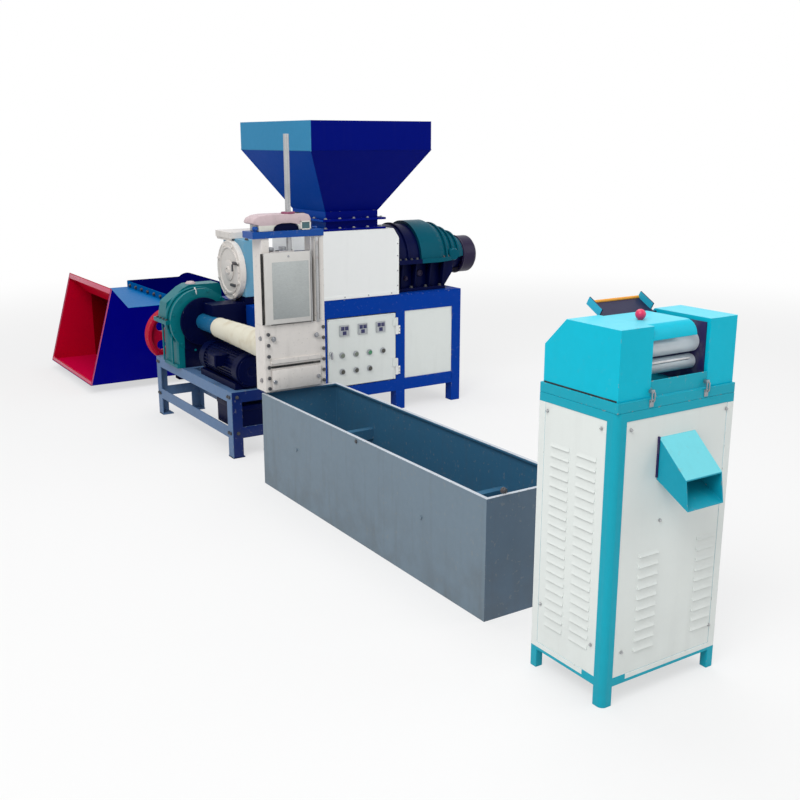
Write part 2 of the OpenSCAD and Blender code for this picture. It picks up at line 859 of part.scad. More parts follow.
module second_stand() {
    x1 = frame_x + frame_w;
    color("slategray") place() {
        angle_leg(frame_x, frame_y, 1, 1);
        angle_leg(x1, frame_y, -1, 1);
        angle_leg(frame_x, frame_back, 1, -1);
        angle_leg(x1, frame_back, -1, -1);
        for (x = [frame_x, x1 - iron_t]) {
            block([x, frame_y, frame_h - iron_w], [x + iron_t, frame_back, frame_h]);
            block([x, frame_y, frame_low_z], [x + iron_t, frame_back, frame_low_z + iron_w]);
        }
        for (x = [frame_x, x1 - iron_w])
            block([x, frame_y, frame_h - iron_t], [x + iron_w, frame_back, frame_h]);
        for (y = [frame_y, frame_back - iron_t]) {
            block([frame_x, y, frame_h - iron_w], [x1, y + iron_t, frame_h]);
            block([frame_x, y, frame_low_z], [x1, y + iron_t, frame_low_z + iron_w]);
        }
        for (y = [frame_y, gear_front, frame_back - iron_w])
            block([frame_x, y, frame_h - iron_t], [x1, y + iron_w, frame_h]);
    }
}

// The casing's outline over the barrel's axis, with a slope at its left shoulder
function casing_outline() = [
    [-casing_half, 0], [22 - casing_half, casing_rise - shoulder_h],
    [shoulder_w - casing_half, casing_rise - 20], [shoulder_w + 44 - casing_half, casing_rise],
    [casing_half - 20, casing_rise], [casing_half, casing_rise - 20], [casing_half, 0]
];

module second_gearbox() {
    flange_x = casing_half + split_out;
    color("teal") place() difference() {
        union() {
            rod_y(screw_x, gear_front, casing_y, screw_z, drum_r);
            rod_y(screw_x, gear_front, gear_front + 20, screw_z, drum_r + 8);
            translate([screw_x, 0, screw_z]) prism_y(casing_y, gear_back, casing_outline());
            block([screw_x - casing_base_half, gear_front + 8, frame_h],
                [screw_x + casing_base_half, gear_back, screw_z]);
            block([screw_x - flange_x, gear_front + 30, screw_z - split_t],
                [screw_x + casing_half, gear_back, screw_z + split_t]);
            rod_y(screw_x, gear_back, gear_back + shaft_house_l, pulley_z, 2 * pulley_shaft_r);
        }
        rod_y(screw_x, gear_back - 20, gear_back + shaft_house_l + 1, pulley_z, pulley_shaft_r + shaft_fit);
    }
}

module bearing_housing() {
    color("midnightblue") place() {
        rod_y(screw_x, bearing_y, gear_front, screw_z, bearing_r);
        rod_y(screw_x, bearing_y, bearing_y + 18, screw_z, bearing_flange_r);
    }
}

// The pulley's section, radius against width, with its belt grooves
function pulley_section() = let (r = pulley_r, w = pulley_w, w0 = (w - web_t) / 2, g = w / groove_n) concat(
    [[0, 0], [hub_r, 0], [hub_r, w0], [r - rim_t, w0], [r - rim_t, 0], [r, 0]],
    [for (i = [0:groove_n - 1]) each [
        [r, (i + 0.2) * g], [r - groove_d, (i + 0.35) * g], [r - groove_d, (i + 0.65) * g], [r, (i + 0.8) * g]
    ]],
    [[r, w], [r - rim_t, w], [r - rim_t, w - w0], [hub_r, w - w0], [hub_r, w], [0, w]]
);

module red_pulley() {
    hole_at = (hub_r + pulley_r - rim_t) / 2;
    color("crimson") place() {
        difference() {
            translate([screw_x, pulley_y, pulley_z]) rotate([-90, 0, 0])
                rotate_extrude() polygon(pulley_section());
            for (a = [0:72:288])
                rod_y(screw_x + hole_at * cos(a), pulley_y - 1, pulley_y + pulley_w + 1,
                    pulley_z + hole_at * sin(a), web_hole_r);
        }
        rod_y(screw_x, gear_back - 18, pulley_y, pulley_z, pulley_shaft_r);
    }
}

module second_motor() {
    y0 = frame_y + motor_off;
    y1 = bearing_y - motor_gap;
    core = motor_r - fin_h;
    color("midnightblue") place() {
        rod_y(screw_x, y0, y1, motor_z, core);
        for (y = [y0, y1 - shield_l]) rod_y(screw_x, y, y + shield_l, motor_z, motor_r);
        for (i = [0:fin_n - 1]) translate([screw_x, y0 + shield_l, motor_z])
            rotate([0, 240 * i / (fin_n - 1) - 120, 0])
            translate([-2, -1, core - 4]) cube([4, y1 - y0 - 2 * shield_l + 2, fin_h + 2]);
        block([screw_x - motor_r, y0 + motor_off, frame_h],
            [screw_x + motor_r, y1 - motor_off, motor_z - motor_r + 30]);
        // Terminal box
        block([screw_x - motor_r - 40, y0 + 190, motor_z + 8],
            [screw_x - core / 2, y0 + 300, motor_z + 74]);
    }
}

module stand_box() {
    x0 = frame_x + (frame_w - stand_box_w) / 2;
    y0 = frame_y + iron_t;
    z0 = frame_low_z + iron_w - 20;
    color("midnightblue") place()
        block([x0, y0, z0], [x0 + stand_box_w, y0 + stand_box_l, z0 + stand_box_h]);
}

module second_barrel() {
    color("steelblue") place() rod_y(screw_x, changer_back, bearing_y, screw_z, tube_r);
}

module barrel_sleeve() {
    y1 = throat_y - sleeve_gap;
    color("ivory") place() difference() {
        cone_y(screw_x, changer_back + 30, y1, screw_z, sleeve_r_front, sleeve_r_rear);
        rod_y(screw_x, changer_back + 29, y1 + 1, screw_z, tube_r);
    }
}

module feed_throat() {
    y1 = throat_y + throat_l;
    color("midnightblue") place() difference() {
        union() {
            block([screw_x, throat_y, screw_z - 44], [stand_x - 2, y1, stand_h + 16]);
            block([stand_x - 60, throat_y, stand_h + 2], [head_back_x, y1, stand_h + 16]);
            block([head_x + head_cover_t + 1, throat_y, stand_h + 2], [head_back_x, y1, axis_z - head_half]);
        }
        rod_y(screw_x, throat_y - 1, bearing_y, screw_z, tube_r + screw_fit);
    }
}

module changer_block() {
    x1 = changer_x + changer_w;
    slot_l = changer_w - 2 * die_slot_in;
    color("antiquewhite") place() difference() {
        union() {
            block([changer_x, changer_y, block_z], [x1, changer_back, block_z + block_h]);
            block([changer_x + die_slot_in, changer_y - ledge_out, block_z + ledge_z],
                [x1 - die_slot_in, changer_y, block_z + ledge_z + ledge_h]);
        }
        block([slide_x - 1, changer_y + guide_lip, slide_bottom - slide_gap],
            [slide_x + slide_w + 1, changer_y + guide_lip + slot_d, block_z + block_h + 1]);
        // The die's slot with its strand holes
        block([changer_x + die_slot_in, changer_y - 1, block_z + die_slot_z],
            [x1 - die_slot_in, changer_y + 5, block_z + die_slot_z + die_slot_h]);
        for (i = [1:die_holes])
            rod_y(changer_x + die_slot_in + (i - 0.5) * slot_l / die_holes, changer_y, changer_y + 30,
                block_z + die_slot_z + die_slot_h / 2, 3);
    }
}

module changer_columns() {
    z0 = block_z + block_h;
    color("antiquewhite") place() for (c = [[changer_x, column_w_left],
        [changer_x + changer_w - column_w_right, column_w_right]])
        block([c[0], changer_y, z0], [c[0] + c[1], changer_back, column_top]);
}

module changer_crossbar() {
    color("royalblue") place() difference() {
        block([changer_x - 50, changer_y - 6, column_top],
            [changer_x + changer_w, changer_back + 6, crossbar_top]);
        translate([slide_mid_x, changer_y + guide_lip + slot_d / 2, column_top - 1])
            cylinder(h = crossbar_h + 2, r = lift_screw_r + screw_fit);
    }
}

module slide_plate() {
    y0 = changer_y + guide_lip + slide_gap;
    color("silver") place()
        block([slide_x + slide_gap, y0, slide_bottom],
            [slide_x + slide_w - slide_gap, y0 + slide_t, slide_top]);
}

module lift_screw() {
    color("silver") place()
        translate([slide_mid_x, changer_y + guide_lip + slot_d / 2, slide_top])
            cylinder(h = lift_screw_top - slide_top, r = lift_screw_r);
}

module lift_housing() {
    x0 = changer_x - 44;
    x1 = changer_x + changer_w - 70;
    y0 = changer_y;
    y1 = changer_back;
    color("mistyrose") place() difference() {
        block([x0, y0, crossbar_top], [x1, y1, crossbar_top + 84]);
        rod_y(slide_mid_x, y0 - 1, y1 + 1, crossbar_top - 30, 76);
        translate([slide_mid_x, changer_y + guide_lip + slot_d / 2, crossbar_top])
            cylinder(h = 100, r = lift_screw_r + 3);
    }
}

module cutter_cabinet() {
    x1 = cutter_x + cutter_w;
    p = cab_post;
    c = 2 * corner_r;
    color("mediumturquoise") place() {
        translate([cutter_x + corner_r, cutter_front + corner_r, 0]) cylinder(h = cabinet_h, r = corner_r);
        block([cutter_x + corner_r, cutter_front, 0], [cutter_x + c, cutter_front + c, cabinet_h]);
        block([cutter_x, cutter_front + corner_r, 0], [cutter_x + c, cutter_front + c, cabinet_h]);
        block([x1 - p, cutter_front, 0], [x1, cutter_front + p, cabinet_h]);
        block([cutter_x, cutter_back - p, 0], [cutter_x + p, cutter_back, cabinet_h]);
        block([x1 - p, cutter_back - p, 0], [x1, cutter_back, cabinet_h]);
        for (z = [cab_foot_h, cabinet_h - p]) {
            block([cutter_x + corner_r, cutter_front, z], [x1 - 1, cutter_front + p, z + p]);
            block([cutter_x, cutter_front + corner_r, z], [cutter_x + p, cutter_back - 1, z + p]);
            block([cutter_x + 1, cutter_back - p, z], [x1 - 1, cutter_back, z + p]);
            block([x1 - p, cutter_front + 1, z], [x1, cutter_back - 1, z + p]);
        }
    }
}

// A louvre on a sheet that faces -Y: a wedge, or the hollow behind it
module louvre(x, z, hollow) {
    s = cab_sheet + 1;
    if (hollow) prism_x(x - louvre_l / 2 + 2, x + louvre_l / 2 - 2, [
        [s, z - 1], [1.6 - louvre_out, z - 1], [-0.6, z + louvre_h - 4], [s, z + louvre_h - 4]
    ]);
    else prism_x(x - louvre_l / 2, x + louvre_l / 2, [[0, z], [-louvre_out, z], [0, z + louvre_h]]);
}

// A sheet panel that faces -Y, with columns of louvres down to its lower edge
module louvred_panel(w, columns, drop, pitch) {
    h = cabinet_h - 2 * cab_post - cab_foot_h;
    top = h + cab_post - drop;
    difference() {
        union() {
            cube([w, cab_sheet, h]);
            for (x = columns, z = [top:-pitch:60]) louvre(x, z, false);
        }
        for (x = columns, z = [top:-pitch:60]) louvre(x, z, true);
    }
}

module cutter_panels() {
    x1 = cutter_x + cutter_w;
    p = cab_post;
    z0 = cab_foot_h + p;
    side_w = cutter_d - 2 * corner_r - p;
    side_columns = [for (s = [-1, 1]) (side_w + s * side_column_gap) / 2];
    front_columns = [front_column_in, front_column_in + front_column_gap];
    color("gainsboro") place() {
        translate([cutter_x + 2 * corner_r, cutter_front + 2, z0]) louvred_panel(
            cutter_w - 2 * corner_r - p, front_columns, front_louvre_drop, front_louvre_pitch);
        translate([cutter_x + 2, cutter_back - p, z0]) rotate([0, 0, -90])
            louvred_panel(side_w, side_columns, side_louvre_drop, side_louvre_pitch);
        translate([x1 - p, cutter_back - 2, z0]) rotate([0, 0, 180])
            louvred_panel(cutter_w - 2 * p, front_columns, front_louvre_drop, front_louvre_pitch);
        translate([x1 - 2, cutter_front + p, z0]) rotate([0, 0, 90])
            louvred_panel(cutter_d - 2 * p, side_columns, side_louvre_drop, side_louvre_pitch);
    }
}

module cutter_base_plate() {
    x0 = hood_window_x;
    x1 = hood_window_x + hood_window_w;
    color("mediumturquoise") place() {
        block([cutter_x, cutter_front, cabinet_h], [cutter_x + cutter_w, cutter_back, base_top]);
        // The channel-shaped sill of the window
        block([x0, hood_front_y, base_top], [x1, hood_front_y + 5, base_top + sill_h]);
        block([x0, hood_front_y, base_top], [x1, hood_front_y + sill_d, base_top + 6]);
    }
}

// The outline of the hood's side blocks, sloping down at the back
function hood_outline(z0) = [
    [hood_front_y, z0], [hood_back_y, z0], [hood_back_y, slope_z],
    [slope_y, hood_top], [hood_front_y, hood_top]
];

// The bores that carry the rollers' journals and the lid's pin at one side of the window
module hood_bores(x) {
    for (z = [lower_roller_z, upper_roller_z])
        rod_x(x - journal_l - 2, x + journal_l + 2, roller_y, z, journal_r + shaft_fit);
    rod_x(x - journal_l - 2, x + journal_l + 2, lid_hinge_y, lid_hinge_z, lid_pin_r + shaft_fit);
}

module hood_left() {
    color("darkturquoise") place() difference() {
        prism_x(cutter_x + 6, hood_window_x, hood_outline(base_top));
        hood_bores(hood_window_x);
    }
}

module hood_right() {
    x = hood_window_x + hood_window_w;
    color("darkturquoise") place() difference() {
        prism_x(x, cutter_x + cutter_w - 6, hood_outline(base_top));
        hood_bores(x);
    }
}

// An arc of the window's guard, from its top to its front edge
function guard_arc(r, angles) = [for (a = angles)
    [hood_front_y + guard_r + r * cos(a), hood_top - guard_r + r * sin(a)]];

// The cover: a flat sheet that rolls down over the feed rollers at the front
module hood_cover() {
    back = slope_y - 20;
    color("darkturquoise") place() prism_x(hood_window_x, hood_window_x + hood_window_w - cover_gap, concat(
        [[back, hood_top - cover_t], [back, hood_top]], guard_arc(guard_r, [90:10:180]),
        guard_arc(guard_r - cover_t, [180:-10:90])
    ));
}

module feed_roller(z, r) {
    x0 = hood_window_x;
    x1 = hood_window_x + hood_window_w;
    rod_x(x0 + 6, x1 - 6, roller_y, z, r);
    rod_x(x0 - journal_l, x1 + journal_l, roller_y, z, journal_r);
}

module upper_feed_roller() {
    color("silver") place() feed_roller(upper_roller_z, upper_roller_r);
}

module lower_feed_roller() {
    color("silver") place() feed_roller(lower_roller_z, lower_roller_r);
}

module feed_lid() {
    x0 = hood_window_x + 8;
    x1 = hood_window_x + hood_window_w - 8;
    color("dimgray") place() translate([0, lid_hinge_y, lid_hinge_z]) rotate([lid_rise, 0, 0]) {
        block([x0, 0, -3], [x1, lid_l, 3]);
        rod_x(x0 - 8 - journal_l, x1 + 8 + journal_l, 0, 0, lid_pin_r);
        for (x = [x0, x1 - 5]) block([x, 14, 0], [x + 5, lid_l, 26]);
    }
}

module lid_knob() {
    color("crimson") place() translate([hood_window_x + knob_off, cutter_front + knob_back, hood_top]) {
        cylinder(h = knob_r / 2, r = knob_r / 2);
        translate([0, 0, knob_r]) sphere(r = knob_r);
    }
}

module discharge_chute() {
    x0 = cutter_x + chute_off;
    x1 = x0 + chute_w;
    y = cutter_front + 2;
    y1 = y - chute_reach;
    top = cabinet_h - chute_drop;
    low = top - chute_h;
    lip_hi = top - chute_fall;
    lip_lo = lip_hi - chute_lip_h;
    t = chute_sheet;
    color("mediumturquoise") place() difference() {
        prism_x(x0, x1, [[y, low], [y, top], [y1 + 15, lip_hi], [y1, lip_lo]]);
        prism_x(x0 + t, x1 - t, [
            [y + 1, low + 1.5 * t], [y + 1, top - 1.5 * t], [y1 + 15 + t, lip_hi - t],
            [y1 - 5, lip_hi - 10], [y1 - 5, lip_lo]
        ]);
    }
}

// A bar lying in the mouth's plane, from height z0 to z1
module mouth_bar(z0, z1) {
    lean = lip_reach / (lip_top - lip_low);
    x0 = lip_out + (z0 - lip_low) * lean;
    x1 = lip_out + (z1 - lip_low) * lean;
    t = crusher_wall;
    prism_y(crusher_y + t / 2, crusher_back - t / 2, [
        [x0 + 1, z0], [x1 + 1, z1], [x1 + t, z1], [x0 + t, z0]
    ]);
}

module crusher_mouth() {
    t = crusher_wall;
    outer = [[lip_out, lip_low], [lip_x, lip_top], [crease_x, crease_z],
        [throat_end_x, crease_z], [throat_end_x, lip_low]];
    color("navy") place() {
        difference() {
            prism_y(crusher_y, crusher_back, outer);
            prism_y(crusher_y + t, crusher_back - t, [
                [lip_out - 40, lip_low + t], [lip_x - 40, lip_top + 40], [lip_x, lip_top - t],
                [crease_x, crease_z - t], [crease_x + inlet_l, crease_z - t],
                [crease_x + inlet_l, lip_low + t]
            ]);
        }
        mouth_bar(lip_low + t / 2, lip_low + mouth_bar_w);
        mouth_bar(lip_top - 10 - mouth_bar_w, lip_top - 10);
    }
}

module crusher_liner() {
    t = crusher_wall;
    color("crimson") place()
        block([crease_x + inlet_l - t, crusher_y + t + 1, lip_low + t + 1],
            [crease_x + inlet_l, crusher_back - t - 1, crease_z - t - 1]);
}

module crusher_body() {
    f = crusher_foot;
    top = crease_z + rotor_rise;
    color("navy") place() {
        block([throat_end_x, crusher_y, lip_low], [rotor_end, crusher_back, top]);
        rod_y(rotor_end, crusher_y, crusher_back, top + rotor_hump - rotor_r, rotor_r);
        for (x = [throat_end_x + f / 2, rotor_end - 1.5 * f], y = [crusher_y + f, crusher_back - 2 * f])
            block([x, y, 0], [x + f, y + f, lip_low]);
    }
}

water_tank();
tank_guide_bars();
main_stand();
stand_top_plate();
front_right_panel();
stand_end_panels();
stand_back_panels();
control_door();
temperature_controllers();
push_buttons();
door_hinges();
barrel_cover();
main_barrel();
barrel_supports();
head_housing();
head_cover();
head_top_plate();
hopper();
hopper_neck();
main_gearbox();
gearbox_cap();
second_stand();
second_gearbox();
bearing_housing();
red_pulley();
second_motor();
stand_box();
second_barrel();
barrel_sleeve();
feed_throat();
changer_block();
changer_columns();
changer_crossbar();
slide_plate();
lift_housing();
lift_screw();
cutter_cabinet();
cutter_panels();
cutter_base_plate();
hood_left();
hood_right();
hood_cover();
upper_feed_roller();
lower_feed_roller();
feed_lid();
lid_knob();
discharge_chute();
crusher_mouth();
crusher_liner();
crusher_body();
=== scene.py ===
"""Looks of a plastic pelletizing line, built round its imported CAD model.

Places are given in millimetres from the near left foot of the water tank: X along the main
extruder, Y away from the pellet cutter, Z up. Every finished piece lies in metres in the frame.
"""
import json
import logging
import math
import random
from contextlib import contextmanager
from dataclasses import dataclass, replace
from enum import Enum
from typing import Callable, Iterator, Sequence

import bmesh
import bpy
from mathutils import Matrix, Vector

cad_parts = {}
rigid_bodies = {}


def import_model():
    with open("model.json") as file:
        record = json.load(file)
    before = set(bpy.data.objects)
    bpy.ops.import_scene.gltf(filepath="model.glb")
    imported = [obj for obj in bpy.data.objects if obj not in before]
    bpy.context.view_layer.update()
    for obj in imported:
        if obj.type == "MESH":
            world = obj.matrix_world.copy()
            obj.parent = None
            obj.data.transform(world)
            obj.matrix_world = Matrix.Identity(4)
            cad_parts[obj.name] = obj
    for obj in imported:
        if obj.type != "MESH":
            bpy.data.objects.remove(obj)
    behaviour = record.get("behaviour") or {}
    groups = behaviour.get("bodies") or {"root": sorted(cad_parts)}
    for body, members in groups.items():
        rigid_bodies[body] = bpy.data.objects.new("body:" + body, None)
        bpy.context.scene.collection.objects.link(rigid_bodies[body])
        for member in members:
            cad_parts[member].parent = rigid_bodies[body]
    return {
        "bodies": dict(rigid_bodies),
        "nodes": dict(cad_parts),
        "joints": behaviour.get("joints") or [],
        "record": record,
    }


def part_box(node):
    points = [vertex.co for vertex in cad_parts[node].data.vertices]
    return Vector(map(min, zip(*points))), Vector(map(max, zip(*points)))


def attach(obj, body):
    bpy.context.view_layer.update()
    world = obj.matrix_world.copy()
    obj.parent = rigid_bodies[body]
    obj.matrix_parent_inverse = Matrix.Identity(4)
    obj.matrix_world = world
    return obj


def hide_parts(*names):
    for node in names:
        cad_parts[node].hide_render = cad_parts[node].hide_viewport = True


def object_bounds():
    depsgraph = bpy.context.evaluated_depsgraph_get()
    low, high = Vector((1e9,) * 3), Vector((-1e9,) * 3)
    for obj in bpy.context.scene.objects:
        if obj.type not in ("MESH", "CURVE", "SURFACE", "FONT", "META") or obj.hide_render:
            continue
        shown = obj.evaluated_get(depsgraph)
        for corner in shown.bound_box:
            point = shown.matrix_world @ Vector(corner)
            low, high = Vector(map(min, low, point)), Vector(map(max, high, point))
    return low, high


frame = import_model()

LOG = logging.getLogger("pelletizing_line")
MM = 0.001
CAD_BOX = [list(corner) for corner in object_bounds()]
TANK_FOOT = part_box("water_tank")[0].copy()

Colour = tuple[float, float, float, float]
Point = tuple[float, float, float]


def srgb(red: int, green: int, blue: int) -> Colour:
    """Turns display values from 0 to 255 into a linear colour."""
    linear = [((v / 255 + 0.055) / 1.055) ** 2.4 if v > 10 else v / 255 / 12.92 for v in (red, green, blue)]
    return (linear[0], linear[1], linear[2], 1.0)


def at(x: float, y: float, z: float) -> Vector:
    """Turns a place in millimetres from the tank's foot into metres in the frame."""
    return TANK_FOOT + Vector((x, y, z)) * MM


def box_mm(node: str) -> tuple[Vector, Vector]:
    """Gives a CAD node's lowest and highest corners in millimetres from the tank's foot."""
    lo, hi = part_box(node)
    return (lo - TANK_FOOT) / MM, (hi - TANK_FOOT) / MM


class Facing(Enum):
    """The way a piece's own Z points once it is in place."""

    LEFT = (-1, 0, 0)
    RIGHT = (1, 0, 0)
    NEAR = (0, -1, 0)
    FAR = (0, 1, 0)
    UP = (0, 0, 1)
    DOWN = (0, 0, -1)

    @property
    def vector(self) -> Vector:
        """The direction as a vector."""
        return Vector(self.value)

    def turn(self) -> Matrix:
        """The rotation that takes +Z to this direction and keeps +X level."""
        way = self.vector
        if abs(way.z) > 0.5:
            return Matrix.Identity(4) if way.z > 0 else Matrix.Rotation(math.pi, 4, "X")
        across = Vector((0, 0, 1)).cross(way)
        return Matrix((across, Vector((0, 0, 1)), way)).transposed().to_4x4()


# ---- Shaders


class Signal:
    """A value on its way through a shader. Arithmetic on it adds Math nodes."""

    def __init__(self, graph: "Graph", socket: bpy.types.NodeSocket) -> None:
        """Wraps one output socket of a graph."""
        self.graph = graph
        self.socket = socket

    def _math(self, operation: str, first: "Signal | float", second: "Signal | float") -> "Signal":
        """Adds one Math node."""
        return self.graph.node("ShaderNodeMath", {"operation": operation}, {0: first, 1: second})

    def __add__(self, other: "Signal | float") -> "Signal":
        """Adds."""
        return self._math("ADD", self, other)

    def __sub__(self, other: "Signal | float") -> "Signal":
        """Takes away."""
        return self._math("SUBTRACT", self, other)

    def __rsub__(self, other: float) -> "Signal":
        """Takes this from a number."""
        return self._math("SUBTRACT", other, self)

    def __mul__(self, other: "Signal | float") -> "Signal":
        """Multiplies."""
        return self._math("MULTIPLY", self, other)

    def __pow__(self, other: float) -> "Signal":
        """Raises to a power."""
        return self._math("POWER", self, other)

    __radd__ = __add__
    __rmul__ = __mul__

    def ramp(self, low: float, high: float) -> "Signal":
        """Rises smoothly from 0 at low to 1 at high, or falls where low is the greater."""
        return self.graph.node(
            "ShaderNodeMapRange",
            {"interpolation_type": "SMOOTHSTEP"},
            {"Value": self, "From Min": low, "From Max": high},
        )


class Graph:
    """The node tree of one material or of the world."""

    def __init__(self, tree: bpy.types.NodeTree) -> None:
        """Starts from an empty tree."""
        self.tree = tree
        tree.nodes.clear()
        self._place: Signal | None = None

    def node(
        self,
        kind: str,
        settings: dict[str, object] | None = None,
        inputs: dict[int | str, object] | None = None,
        output: int | str = 0,
    ) -> Signal:
        """Adds a node.

        Args:
            kind: The node's Blender type.
            settings: Its properties, set before its sockets; "stops" fills a colour ramp.
            inputs: Values or signals for its sockets.
            output: The output to hand on.

        Returns:
            The chosen output.
        """
        made = self.tree.nodes.new(kind)
        for key, value in (settings or {}).items():
            if key == "stops":
                for spot, (place, colour) in enumerate(value):
                    stop = made.color_ramp.elements[spot] if spot < 2 else made.color_ramp.elements.new(place)
                    stop.position, stop.color = place, colour
            else:
                setattr(made, key, value)
        for key, value in (inputs or {}).items():
            if isinstance(value, Signal):
                self.tree.links.new(value.socket, made.inputs[key])
            else:
                made.inputs[key].default_value = value
        return Signal(self, made.outputs[output] if len(made.outputs) else None)

    def place(self) -> Signal:
        """Object coordinates, which for every piece are places in the frame in metres."""
        if self._place is None:
            self._place = self.node("ShaderNodeTexCoord", output="Object")
        return self._place

    def along(self, axis: str) -> Signal:
        """One coordinate of the place, "X", "Y" or "Z"."""
        return self.node("ShaderNodeSeparateXYZ", {}, {0: self.place()}, axis)

    def clouds(self, scale: float, detail: float = 3.0, stretch: Point = (1, 1, 1), shift: float = 0.0) -> Signal:
        """Noise from 0 to 1.

        Args:
            scale: Waves per metre.
            detail: Octaves.
            stretch: Scale of each axis, for streaks.
            shift: Moves the pattern, so that two layers differ.

        Returns:
            The noise.
        """
        moved = self.node(
            "ShaderNodeMapping", {}, {"Vector": self.place(), "Location": (shift,) * 3, "Scale": stretch}
        )
        return self.node("ShaderNodeTexNoise", {}, {"Vector": moved, "Scale": scale, "Detail": detail})

    def blend(self, factor: Signal | float, first: Signal | Colour, second: Signal | Colour) -> Signal:
        """Mixes two colours."""
        return self.node("ShaderNodeMix", {"data_type": "RGBA"}, {0: factor, 6: first, 7: second}, 2)

    def bump(self, height: Signal, strength: float, distance: float) -> Signal:
        """Turns a height into a normal."""
        return self.node("ShaderNodeBump", {}, {"Height": height, "Strength": strength, "Distance": distance})


def material_named(name: str, build: Callable[[Graph], Signal]) -> bpy.types.Material:
    """Gives the material of that name, made on its first use.

    Args:
        name: The material's name.
        build: Fills a graph and returns its surface shader.

    Returns:
        The material.
    """
    found = bpy.data.materials.get("look_" + name)
    if found is None:
        found = bpy.data.materials.new("look_" + name)
        found.use_nodes = True
        graph = Graph(found.node_tree)
        graph.node("ShaderNodeOutputMaterial", {}, {"Surface": build(graph)})
    return found


@dataclass(frozen=True)
class Zone:
    """A box in the frame where a finish takes another colour, such as a tank's inside."""

    lo: Point
    hi: Point
    colour: Colour
    not_facing_up: bool = False
    facing: str = ""

    def mask(self, graph: Graph) -> Signal:
        """1 inside the box and 0 outside it."""
        inside: Signal | None = None
        for axis, low, high in zip("XYZ", self.lo, self.hi):
            spot = graph.along(axis)
            part = spot.ramp(low - 0.0004, low + 0.0004) * spot.ramp(high + 0.0004, high - 0.0004)
            inside = part if inside is None else inside * part
        if self.not_facing_up:
            normal = graph.node("ShaderNodeNewGeometry", output="Normal")
            inside = inside * graph.node("ShaderNodeSeparateXYZ", {}, {0: normal}, "Z").ramp(0.6, 0.4)
        if self.facing:
            normal = graph.node("ShaderNodeNewGeometry", output="Normal")
            turn = graph.node("ShaderNodeSeparateXYZ", {}, {0: normal}, self.facing[1])
            inside = inside * (turn.ramp(0.3, 0.5) if self.facing[0] == "+" else turn.ramp(-0.3, -0.5))
        return inside


@dataclass(frozen=True)
class Paint:
    """Sprayed or brushed paint on metal, with drifting tone, run marks, dust, chips and orange peel."""

    name: str
    slot: str
    colour: Colour
    roughness: float = 0.36
    drift: float = 0.16
    grime: float = 0.3
    chips: float = 0.06
    relief: float = 0.12
    relief_scale: float = 240.0
    coat: float = 0.1
    gloss: float = 0.25
    dirt: Colour = srgb(88, 84, 76)
    under: Colour = srgb(150, 148, 140)
    zones: tuple[Zone, ...] = ()

    def material(self) -> bpy.types.Material:
        """The Blender material of this paint."""
        return material_named(self.name, self._surface)

    def worn(self) -> "Paint":
        """The same paint along an edge, where hands and tools have rubbed it."""
        return replace(
            self, name=self.name + "_edge", chips=min(1.0, self.chips * 3 + 0.12), roughness=self.roughness + 0.06
        )

    def _surface(self, graph: Graph) -> Signal:
        """Builds the paint's shader."""
        broad, fine = graph.clouds(2.3, 4), graph.clouds(34.0, 5, shift=3.1)
        colour: Signal | Colour = self.colour
        for zone in self.zones:
            colour = graph.blend(zone.mask(graph), colour, zone.colour)
        shade = 1.0 - self.drift * (broad * 0.7 + fine * 0.5)
        toned = graph.node("ShaderNodeHueSaturation", {}, {"Value": shade + self.drift * 0.6, "Color": colour})
        runs = graph.clouds(3.0, 5, stretch=(9, 9, 0.8), shift=7.7).ramp(0.5, 0.82)
        low = graph.along("Z").ramp(0.42, 0.0) * graph.clouds(9.0, 4, shift=1.7).ramp(0.3, 0.75)
        soil = (runs * 0.55 + low * 0.8 + graph.clouds(6.0, 6, shift=5.2).ramp(0.56, 0.8) * 0.4) * self.grime
        soiled = graph.blend(soil, toned, self.dirt)
        chip = graph.clouds(58.0, 6, shift=9.4).ramp(0.64 - self.chips * 0.22, 0.7 - self.chips * 0.22)
        worn = graph.blend(chip * min(1.0, self.chips * 4), soiled, self.under)
        peel = graph.clouds(self.relief_scale, 2, shift=2.2)
        normal = graph.bump(peel + chip * -0.6, self.relief, 0.0006)
        return graph.node(
            "ShaderNodeBsdfPrincipled",
            {},
            {
                "Base Color": worn,
                "Roughness": self.roughness + 0.12 * fine + 0.3 * soil + 0.15 * chip,
                "Specular IOR Level": self.gloss,
                "Coat Weight": self.coat,
                "Coat Roughness": 0.16,
                "Normal": normal,
            },
        )


